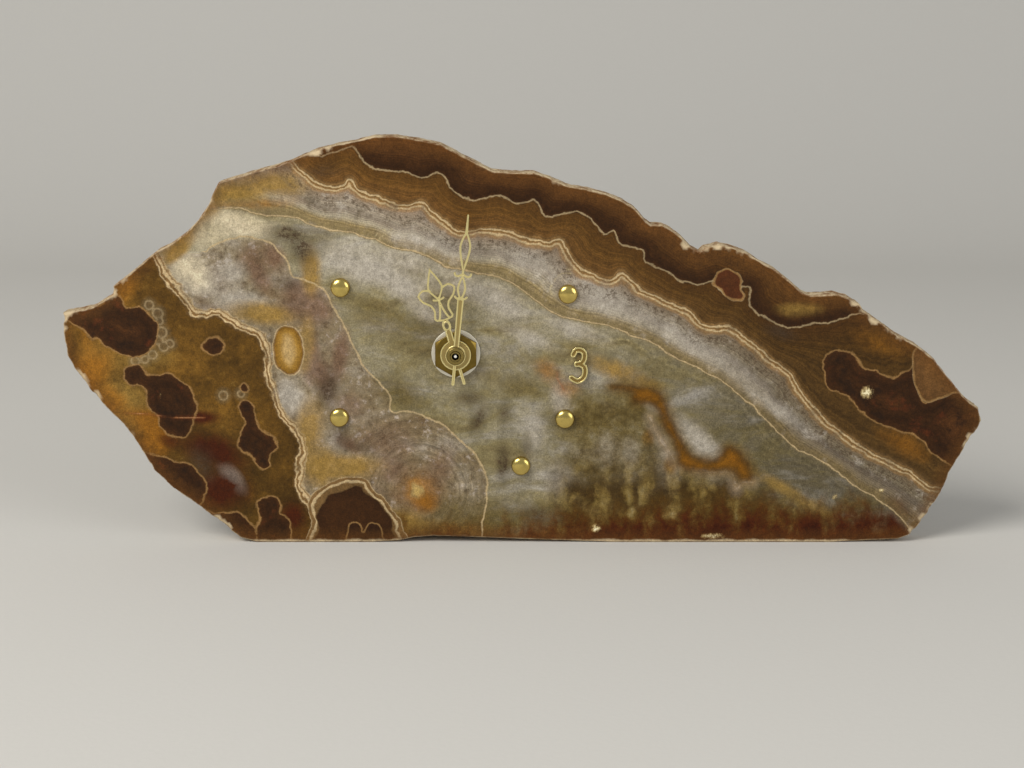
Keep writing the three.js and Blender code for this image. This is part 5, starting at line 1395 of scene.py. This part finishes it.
def edge_rings(loop, stone):
    """The rows of the slab's edge from front to back, their depths, and how chipped each point is."""
    along = np.roll(loop, -2, 0) - np.roll(loop, 2, 0)
    inward = np.column_stack([-along[:, 1], along[:, 0]])
    inward /= np.linalg.norm(inward, axis=1)[:, None]
    standing = soft_step(loop[:, 1], WHOLE_BELOW, BROKEN_ABOVE)
    thickness = (SLAB_HIGH.y - SLAB_LOW.y) / MM
    rows = [*CORNER, *((depth, 0.0) for depth in MIDDLE_DEPTHS)]
    rows += [(thickness - depth, inset) for depth, inset in reversed(CORNER)]
    rings, chips = [], []
    for depth, inset in rows:
        ring = []
        for i, (x, z) in enumerate(loop):
            # Pits all along, and in some stretches bites and splinters out of the front corner
            where = Vector((x, SLAB_LOW.y + depth * MM, z)) / MM
            pit = max(0.0, noise.fractal(where / PIT_SIZE, 0.9, 2.1, 4) * 0.9 + 0.25)
            bitten = soft_step(noise.noise(Vector((x, 0, z)) / (STRETCH_SIZE * MM)), 0.05, 0.35)
            bite = max(0.0, noise.noise(Vector((x, 9, z)) / (BITE_SIZE * MM)) + 0.15) * 1.6
            bite += max(0.0, noise.noise(Vector((x, 5, z)) / (SPLINTER_SIZE * MM)) - 0.1) * 0.8
            chip = min(bite * bitten, 1.0) * max(0.0, 1 - depth / CHIP_REACH) * standing[i]
            shift = inset * MM + pit * stone.rind_depth * standing[i] * 0.6 + chip * stone.chip_depth
            ring.append(loop[i] + inward[i] * shift)
            chips.append(chip)
        rings.append(np.array(ring))
    return rings, [depth * MM for depth, _ in rows], np.array(chips)


def slab_mesh(stone):
    """The slab: a fine polished front, a sawn back, and a pitted, chipped edge between them."""
    coarser = 1.0
    loop = spread_along(slab_outline(), EDGE_SPACING * coarser)
    rings, depths, chips = edge_rings(loop, stone)
    turns = np.linspace(0, 2 * math.pi, HOLE_POINTS, endpoint=False)
    hole = np.array([DIAL.x, DIAL.z]) + HOLE_RADIUS * np.column_stack([np.cos(turns), np.sin(turns)])

    # Points: the rows of the edge, the hole in front and behind, and the insides of both faces
    front_inner, front_faces = fill_face([rings[0], hole], stone.face_spacing * coarser)
    back_inner, back_faces = fill_face([rings[-1], hole], stone.back_spacing * coarser)
    groups = [(ring, SLAB_LOW.y + depth) for ring, depth in zip(rings, depths)]
    groups += [(hole, SLAB_LOW.y), (hole, SLAB_HIGH.y), (front_inner, SLAB_LOW.y), (back_inner, SLAB_HIGH.y)]
    co = np.vstack([np.column_stack([part[:, 0], np.full(len(part), y), part[:, 1]]) for part, y in groups])
    starts = np.cumsum([0] + [len(part) for part, _ in groups]).tolist()
    hole_front, hole_back, inner_front, inner_back = starts[-5:-1]

    def numbered(triangles, *parts):
        """Triangles over a few groups of points, numbered over all points."""
        table = np.concatenate([start + np.arange(size) for start, size in parts])
        return table[triangles]

    count, last = len(loop), starts[len(rings) - 1]
    front = numbered(front_faces, (0, count), (hole_front, len(hole)), (inner_front, len(front_inner)))
    back = numbered(back_faces, (last, count), (hole_back, len(hole)), (inner_back, len(back_inner)))
    faces = front.tolist() + back[:, ::-1].tolist()
    for a, b in zip(starts, starts[1:len(rings)]):
        faces += [(a + i, b + i, b + (i + 1) % count, a + (i + 1) % count) for i in range(count)]
    for i in range(len(hole)):
        j = (i + 1) % len(hole)
        faces.append((hole_front + i, hole_front + j, hole_back + j, hole_back + i))

    mesh = bpy.data.meshes.new("agate_slab_polished")
    mesh.from_pydata(co.tolist(), [], faces)
    mesh.validate()
    bm = bmesh.new()
    bm.from_mesh(mesh)
    bmesh.ops.recalc_face_normals(bm, faces=bm.faces)
    bm.to_mesh(mesh)
    bm.free()
    mesh.shade_smooth()
    mesh.set_sharp_from_angle(angle=math.radians(50))

    middle = np.array([DIAL.x, 0.0])
    places = (co[:, [0, 2]] - middle) / MM
    outline = (loop - middle) / MM
    # Every second point of the outline is close enough for the depth behind the edge
    fields = pattern_fields(places, distance_to(places, outline[::2], True))

    # The rind covers the edge between its broken corners, and fades out over the row in front of that
    edge = starts[len(rings)]
    rind = np.zeros(len(co))
    rind[count:2 * count] = 0.5
    rind[2 * count:edge - 2 * count] = 1.0
    chipped = np.zeros(len(co))
    chipped[:edge] = np.clip(chips * 1.6, 0, 1)
    fields["rind"], fields["chip"] = rind, chipped
    for name, values in fields.items():
        layer = mesh.attributes.new(name, "FLOAT", "POINT")
        layer.data.foreach_set("value", values.astype(np.float32))
    return mesh


# Geometry node helpers

def new_tree(name, *sizes):
    """A geometry node tree with named inputs, and its input and output nodes."""
    tree = bpy.data.node_groups.new(name, "GeometryNodeTree")
    tree.interface.new_socket("Geometry", in_out="OUTPUT", socket_type="NodeSocketGeometry")
    tree.interface.new_socket("Geometry", in_out="INPUT", socket_type="NodeSocketGeometry")
    for label, kind, value in sizes:
        made = tree.interface.new_socket(label, in_out="INPUT", socket_type=kind)
        if value is not None:
            made.default_value = value
    return tree, add(tree, "NodeGroupInput")


def grown(piece, tree, **values):
    """Runs a geometry node tree on an object and keeps the result as its plain mesh."""
    modifier = piece.modifiers.new(tree.name, "NODES")
    modifier.node_group = tree
    for item in tree.interface.items_tree:
        key = item.name.replace(" ", "_").lower()
        if item.item_type == "SOCKET" and item.in_out == "INPUT" and key in values:
            modifier[item.identifier] = values[key]
    depsgraph = bpy.context.evaluated_depsgraph_get()
    result = bpy.data.meshes.new_from_object(piece.evaluated_get(depsgraph))
    piece.modifiers.remove(modifier)
    piece.data = result
    return piece


def stud_tree():
    """Low domes on the given points, facing the front."""
    tree, given = new_tree(
        "Hour studs", ("Diameter", "NodeSocketFloat", 0.006), ("Height", "NodeSocketFloat", 0.0019),
        ("Fullness", "NodeSocketFloat", 0.8), ("Segments", "NodeSocketInt", 56),
        ("Material", "NodeSocketMaterial", None)
    )
    ball = {"Segments": given["Segments"], "Rings": 28, "Radius": 1.0}
    ball = add(tree, "GeometryNodeMeshUVSphere", ball)["Mesh"]
    spot = add(tree, "ShaderNodeSeparateXYZ", {0: add(tree, "GeometryNodeInputPosition")[0]})
    forward = spot["Z"]
    for step, by in (
        ("MAXIMUM", 0.0), ("POWER", given["Fullness"]), ("MULTIPLY", given["Height"]), ("MULTIPLY", -1.0),
    ):
        forward = add(tree, "ShaderNodeMath", {0: forward, 1: by}, operation=step)[0]
    radius = add(tree, "ShaderNodeMath", {0: given["Diameter"], 1: 0.5}, operation="MULTIPLY")[0]
    shape = {"Y": forward}
    for side, axis in (("X", "X"), ("Z", "Y")):
        shape[side] = add(tree, "ShaderNodeMath", {0: spot[axis], 1: radius}, operation="MULTIPLY")[0]
    shape = add(tree, "ShaderNodeCombineXYZ", shape)[0]
    dome = add(tree, "GeometryNodeSetPosition", {"Geometry": ball, "Position": shape})[0]
    copies = add(tree, "GeometryNodeInstanceOnPoints", {"Points": given["Geometry"], "Instance": dome})[0]
    real = add(tree, "GeometryNodeRealizeInstances", {0: copies})[0]
    done = add(tree, "GeometryNodeSetMaterial", {"Geometry": real, "Material": given["Material"]})[0]
    add(tree, "NodeGroupOutput", {0: done})
    return tree


def winding_tree():
    """Turns of wire wound along the X axis round a bobbin."""
    tree, given = new_tree(
        "Wire turns", ("Turns", "NodeSocketFloat", 44.0), ("Radius", "NodeSocketFloat", 0.003),
        ("Length", "NodeSocketFloat", 0.015), ("Wire", "NodeSocketFloat", 0.0003),
        ("Material", "NodeSocketMaterial", None)
    )
    helix = add(
        tree, "GeometryNodeCurveSpiral",
        {"Resolution": 20, "Rotations": given["Turns"], "Start Radius": given["Radius"],
         "End Radius": given["Radius"], "Height": given["Length"]}
    )[0]
    half = add(tree, "ShaderNodeMath", {0: given["Wire"], 1: 0.5}, operation="MULTIPLY")[0]
    section = add(tree, "GeometryNodeCurvePrimitiveCircle", {"Resolution": 6, "Radius": half})[0]
    wire = {"Curve": helix, "Profile Curve": section, "Fill Caps": True}
    wire = add(tree, "GeometryNodeCurveToMesh", wire)[0]
    turned = add(tree, "GeometryNodeTransform", {"Geometry": wire, "Rotation": (0, math.radians(90), 0)})[0]
    real = add(tree, "GeometryNodeRealizeInstances", {0: turned})[0]
    done = add(tree, "GeometryNodeSetMaterial", {"Geometry": real, "Material": given["Material"]})[0]
    add(tree, "NodeGroupOutput", {0: done})
    return tree


# Operators

# Widths of the broken edges: stone foot, nuts, thin brass and contacts, case, knob and cell
FOOT_BREAK = 0.9 * MM
NUT_BREAK = 0.12 * MM
FINE_BREAK = 0.08 * MM
CASE_BREAK = 0.25 * MM
KNOB_BREAK = 0.18 * MM
CELL_BREAK = 0.2 * MM

# Radius of the minute nut's bore, how far the bobbin's flanges stand above its winding, and their width
NUT_BORE = 1.5 * MM
FLANGE_LIP = 0.24 * MM
FLANGE_WIDTH = 0.8 * MM

# Hours that are marked by a stud
STUD_HOURS = (10, 8, 5, 4, 2)

# Paper sweep, in metres: how far it runs to the front and to the back, the radius of its bend and the steps
# that draw it, its height and width, and how far it lies under the clock
SWEEP_NEAR, SWEEP_FAR = 2.6, 0.55
SWEEP_BEND, SWEEP_STEPS = 0.4, 16
SWEEP_HEIGHT = 2.2
SWEEP_WIDTH = 6.0
SWEEP_BELOW = 0.02 * MM

# Lamps: place and width in metres, name of the power, and tint; both point at the middle of the clock
LAMPS = {
    "key_lamp": ((-0.75, -0.85, 0.95), 0.8, "key_power", (1.0, 0.985, 0.96)),
    "fill_lamp": ((0.95, -0.8, 0.5), 0.9, "fill_power", (0.96, 0.98, 1.0)),
}
LAMP_AIM = Vector((0, 0, 0.06))

# Where the camera stands, in metres, so that the slab lies in the frame as in the photo, and the width of
# its sensor in millimetres
CAMERA_PLACE = (-0.003859, -0.626008, 0.180524)
SENSOR_WIDTH = 36


class AGATECLOCK_OT_stage(bpy.types.Operator):
    """Lays the pale floor, hangs the lamps and sets up the camera"""

    bl_idname = "agate_clock.stage"
    bl_label = "Floor, Light and Camera"
    bl_options = {"UNDO"}

    def execute(self, context):
        studio = context.scene.agate_clock.studio
        scene = context.scene
        scene.view_settings.view_transform = "Standard"

        # One sheet that runs along the floor and curves up behind the clock
        bm = bmesh.new()
        profile = [(-SWEEP_NEAR, 0.0), (SWEEP_FAR, 0.0)]
        for t in np.linspace(0, math.pi / 2, SWEEP_STEPS + 1)[1:]:
            profile.append((SWEEP_FAR + SWEEP_BEND * math.sin(t), SWEEP_BEND * (1 - math.cos(t))))
        profile.append((SWEEP_FAR + SWEEP_BEND, SWEEP_HEIGHT))
        sides = (-SWEEP_WIDTH / 2, SWEEP_WIDTH / 2)
        rows = [[bm.verts.new((x, y, z - SWEEP_BELOW)) for y, z in profile] for x in sides]
        for i in range(len(profile) - 1):
            bm.faces.new((rows[0][i], rows[1][i], rows[1][i + 1], rows[0][i + 1]))
        bmesh.ops.recalc_face_normals(bm, faces=bm.faces)
        sweep = new_object("paper_sweep", smooth_mesh(bm, "paper_sweep", 60))
        sweep.data.materials.append(floor_paper(studio))

        for name, (spot, size, power, tint) in LAMPS.items():
            lamp = bpy.data.lights.new(name, "AREA")
            lamp.shape, lamp.size, lamp.energy, lamp.color = "DISK", size, getattr(studio, power), tint
            holder = new_object(name, lamp)
            holder.location = spot
            holder.rotation_euler = (LAMP_AIM - holder.location).to_track_quat("-Z", "Y").to_euler()

        world = bpy.data.worlds.new("Studio")
        world.use_nodes = True
        world.node_tree.nodes.clear()
        sky = {"Color": linear("#e9ebee"), "Strength": studio.room_light}
        sky = add(world.node_tree, "ShaderNodeBackground", sky)[0]
        add(world.node_tree, "ShaderNodeOutputWorld", {"Surface": sky})
        scene.world = world

        camera = bpy.data.cameras.new("photo_view")
        camera.lens, camera.sensor_width = studio.focal_length, SENSOR_WIDTH
        holder = new_object("photo_view", camera)
        holder.location = CAMERA_PLACE
        holder.rotation_euler = (math.pi / 2 - studio.look_down, 0, 0)
        scene.camera = holder
        return {"FINISHED"}


class AGATECLOCK_OT_slab(bpy.types.Operator):
    """Makes the polished agate slab with its bands, spots and broken edge"""

    bl_idname = "agate_clock.slab"
    bl_label = "Agate Slab"
    bl_options = {"UNDO"}

    def execute(self, context):
        stone = context.scene.agate_clock.stone
        slab = new_object("agate_slab_polished", slab_mesh(stone))
        finish_piece(slab, sawn_agate(stone), "clock_body", "agate", "agate_slab")
        return {"FINISHED"}


class AGATECLOCK_OT_foot(bpy.types.Operator):
    """Makes the ground agate foot"""

    bl_idname = "agate_clock.foot"
    bl_label = "Stone Foot"
    bl_options = {"UNDO"}

    def execute(self, context):
        stone = context.scene.agate_clock.stone
        ground = ground_agate(stone)
        softened(
            "back_foot", "foot_ground", FOOT_BREAK, ground, "clock_body", "agate", segments=3, angle=25
        )
        return {"FINISHED"}


class AGATECLOCK_OT_dial(bpy.types.Operator):
    """Makes the five brass hour studs and the numeral"""

    bl_idname = "agate_clock.dial"
    bl_label = "Studs and Numeral"
    bl_options = {"UNDO"}

    def execute(self, context):
        sizes = context.scene.agate_clock.metal
        # Lacquer keeps the domed studs yellow and bright, with a small clear light on each
        domed = metal(
            "Brass, domed and lacquered", sizes.stud_brass, roughness=0.2, wear=0.5, scratch_size=0.25
        )
        # Coining leaves a bright raised rim and a sunk middle that tarnishes brown; the same brown film along
        # the numeral's sides is painted shade
        coin = metal(
            "Brass, coined", sizes.brass, roughness=0.26, wear=0.2, scratch_size=0.25, tarnish=0.97
        )
        names = [f"hour_stud_{hour}" for hour in STUD_HOURS]
        mesh = bpy.data.meshes.new("hour_studs")
        seats = []
        for name in names:
            low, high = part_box(name)
            seats.append(((low.x + high.x) / 2, high.y, (low.z + high.z) / 2))
        mesh.from_pydata(seats, [], [])
        studs = new_object("hour_studs", mesh)
        grown(
            studs, stud_tree(), diameter=sizes.stud_diameter, height=sizes.stud_height,
            fullness=sizes.stud_fullness, material=domed
        )
        studs.data.shade_smooth()
        studs.data.set_sharp_from_angle(angle=math.radians(60))
        finish_piece(studs, domed, "clock_body", "bright_brass", *names)
        numeral = softened(
            "numeral_3", "numeral_three", FINE_BREAK, coin, "clock_body", "bright_brass", angle=40
        )
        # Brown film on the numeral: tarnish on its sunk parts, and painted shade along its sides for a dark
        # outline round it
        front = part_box("numeral_3")[0].y
        mark_channel(numeral, lambda spot: spot.y > front + sizes.rim_height)
        return {"FINISHED"}


class AGATECLOCK_OT_front_fixing(bpy.types.Operator):
    """Finishes the washer, hexagon nut, bushing, pipes and minute nut"""

    bl_idname = "agate_clock.front_fixing"
    bl_label = "Washer, Nut and Pipes"
    bl_options = {"UNDO"}

    def execute(self, context):
        sizes = context.scene.agate_clock.metal
        # Matt plate gives the washer a pale, even ring
        nickel = metal(
            "Nickel-plated steel, stamped", sizes.nickel, roughness=0.5, wear=0.2, scratch_size=0.3
        )
        softened("dial_washer", "washer_stamped", NUT_BREAK, nickel, "clock_body", "nickel_plate")
        # Bare brass that has tarnished evenly is a dull olive brown
        brass = metal(
            "Brass, milled from hexagon bar", sizes.nut, roughness=0.34, wear=0.5, scratch_size=0.2
        )
        softened("hex_nut", "nut_milled", NUT_BREAK, brass, "clock_body", "bright_brass")
        # Turned brass keeps a soft shine, and tarnish darkens the bore of the nut
        turned = metal(
            "Brass, turned", sizes.aged, roughness=0.3, wear=0.3, scratch_size=0.15
        )
        dress(turned, "centre_bushing", "minute_arbor", "hour_wheel")
        bored = metal(
            "Brass, turned and bored", sizes.aged, roughness=0.3, wear=0.3, scratch_size=0.15, tarnish=0.95
        )
        nut = softened("minute_nut", "minute_nut_turned", FINE_BREAK, bored, "minute", "bright_brass")
        mark_channel(nut, lambda spot: math.hypot(spot.x - DIAL.x, spot.z - DIAL.z) < NUT_BORE)
        # Rubber is nearly black and quite dull
        rubber = plastic(
            "Rubber, moulded", linear("#1b1b1b"), roughness=0.8, texture_size=0.3, texture_height=0.03
        )
        dress(rubber, "rubber_gasket")
        return {"FINISHED"}


class AGATECLOCK_OT_hands(bpy.types.Operator):
    """Finishes the openwork hour and minute hands"""

    bl_idname = "agate_clock.hands"
    bl_label = "Hands"
    bl_options = {"UNDO"}

    def execute(self, context):
        sizes = context.scene.agate_clock.metal
        # Coined like the numeral: bright rims round a browner middle
        brass = metal(
            "Brass, pierced and coined", sizes.brass, roughness=0.3, wear=0.15, scratch_size=0.2, tarnish=0.75
        )
        for hand, body in (("hour_hand", "hour"), ("minute_hand", "minute")):
            softened(
                hand, f"{hand}_pierced", sizes.edge_break, brass, body, "bright_brass", angle=40,
                rim=sizes.hand_rim, depth=sizes.rim_height
            )
        return {"FINISHED"}


class AGATECLOCK_OT_case(bpy.types.Operator):
    """Finishes the movement's case, cover and setting knob"""

    bl_idname = "agate_clock.case"
    bl_label = "Movement Case"
    bl_options = {"UNDO"}

    def execute(self, context):
        sizes = context.scene.agate_clock.movement
        # A fine spark-eroded mould gives the black case a satin grey light
        black = plastic(
            "Polystyrene, moulded", sizes.plastic, roughness=0.48, texture_size=0.35, texture_height=0.02
        )
        softened("case_tray", "case_moulded", CASE_BREAK, black, "clock_body", "black_plastic")
        softened("rear_cover", "cover_moulded", CASE_BREAK, black, "clock_body", "black_plastic")
        softened("setting_knob", "knob_moulded", KNOB_BREAK, black, "setting", "black_plastic")
        dress(black, "middle_plate", "setting_pinion")
        return {"FINISHED"}


class AGATECLOCK_OT_battery(bpy.types.Operator):
    """Finishes the battery cell and its contacts"""

    bl_idname = "agate_clock.battery"
    bl_label = "Battery and Contacts"
    bl_options = {"UNDO"}

    def execute(self, context):
        sizes = context.scene.agate_clock
        # Bright plate on rolled spring steel: a clear, slightly warm shine
        spring = metal(
            "Spring steel, nickel-plated", sizes.metal.nickel, roughness=0.3, wear=0.2, scratch_size=0.2
        )
        softened("contact_positive", "contact_plus", FINE_BREAK, spring, "clock_body", "nickel_plate")
        softened("contact_negative", "contact_minus", FINE_BREAK, spring, "clock_body", "nickel_plate")
        low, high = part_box("battery_cell")
        skin = cell_skin(sizes.movement.sleeve, sizes.metal.nickel, low.x, high.x)
        softened("battery_cell", "cell_sleeved", CELL_BREAK, skin, "battery", "cell_jacket", angle=25)
        return {"FINISHED"}


class AGATECLOCK_OT_mechanism(bpy.types.Operator):
    """Finishes the wheels, motor and electronics inside the case"""

    bl_idname = "agate_clock.mechanism"
    bl_label = "Wheels and Motor"
    bl_options = {"UNDO"}

    def execute(self, context):
        sizes = context.scene.agate_clock.movement
        # Wheels of milky white acetal, with the soft gloss of a slippery plastic
        acetal = plastic(
            "Acetal, moulded", sizes.wheel_plastic, roughness=0.38, texture_size=0.4, texture_height=0.01
        )
        dress(acetal, "centre_wheel", "motion_wheel", "third_wheel", "second_wheel")
        dress(acetal, "intermediate_wheel", "rotor_pinion")
        # Rolled grey steel, a dark grainy magnet and a bright drawn can
        steel = metal(
            "Motor steel, stamped", linear("#96969a"), roughness=0.35, wear=0.3, scratch_size=0.3
        )
        dress(steel, "stator_plate")
        magnet = metal(
            "Magnet, sintered", linear("#55555a"), roughness=0.5, wear=0.4, scratch_size=0.4
        )
        dress(magnet, "rotor_magnet")
        can = metal(
            "Nickel can, drawn", linear("#b5b3ac"), roughness=0.28, wear=0.15, scratch_size=0.2
        )
        dress(can, "quartz_crystal")
        # Glossy green resist, and a bobbin of cream nylon
        laminate = plastic(
            "Laminate with solder resist", sizes.board, roughness=0.35, texture_size=0.6, texture_height=0.01
        )
        dress(laminate, "circuit_board")
        nylon = plastic(
            "Bobbin nylon, moulded", linear("#c9bfa2"), roughness=0.45, texture_size=0.4, texture_height=0.01
        )
        dress(nylon, "coil")

        # Enamel makes the copper wire red-brown and shiny
        low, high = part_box("coil")
        copper = metal(
            "Copper wire, enamelled", sizes.wire, roughness=0.3, wear=0.2, scratch_size=0.2
        )
        seed = bpy.data.meshes.new("coil_winding")
        seed.from_pydata([(0, 0, 0)], [], [])
        winding = new_object("coil_winding", seed)
        radius = (high.z - low.z) / 2 - FLANGE_LIP - sizes.wire_diameter / 2
        span = (high.x - low.x) - 2 * FLANGE_WIDTH - 2 * sizes.wire_diameter
        grown(
            winding, winding_tree(), turns=float(sizes.wire_turns), radius=radius, length=span,
            wire=sizes.wire_diameter, material=copper
        )
        middle = Vector(((low.x + high.x) / 2 - span / 2, (low.y + high.y) / 2, (low.z + high.z) / 2))
        winding.data.transform(Matrix.Translation(middle))
        winding.data.shade_smooth()
        finish_piece(winding, copper, "clock_body", "coil_wire")
        return {"FINISHED"}


class AGATECLOCK_PT_panel(bpy.types.Panel):
    """Lists the steps and the sizes of the clock"""

    bl_label = "Agate Slab Clock"
    bl_idname = "AGATECLOCK_PT_panel"
    bl_space_type = "VIEW_3D"
    bl_region_type = "UI"
    bl_category = "Agate Clock"

    def draw(self, context):
        for step in STEPS:
            self.layout.operator(step.bl_idname)
        settings = context.scene.agate_clock
        for group in (settings.stone, settings.metal, settings.movement, settings.studio):
            box = self.layout.box()
            for name in group.__annotations__:
                box.prop(group, name)


STEPS = (
    AGATECLOCK_OT_stage,
    AGATECLOCK_OT_slab,
    AGATECLOCK_OT_foot,
    AGATECLOCK_OT_dial,
    AGATECLOCK_OT_front_fixing,
    AGATECLOCK_OT_hands,
    AGATECLOCK_OT_case,
    AGATECLOCK_OT_battery,
    AGATECLOCK_OT_mechanism,
)
GROUPS = (StoneSettings, MetalSettings, MovementSettings, StudioSettings, ClockSettings)


def register():
    """Adds the settings, steps and panel to Blender."""
    for made in (*GROUPS, *STEPS, AGATECLOCK_PT_panel):
        bpy.utils.register_class(made)
    bpy.types.Scene.agate_clock = bpy.props.PointerProperty(type=ClockSettings)


def unregister():
    """Takes the settings, steps and panel out of Blender again."""
    del bpy.types.Scene.agate_clock
    for made in reversed((*GROUPS, *STEPS, AGATECLOCK_PT_panel)):
        bpy.utils.unregister_class(made)


def main():
    """Makes every piece in order."""
    register()
    for step in STEPS:
        group, name = step.bl_idname.split(".")
        getattr(getattr(bpy.ops, group), name)()


if __name__ == "__main__":
    main()
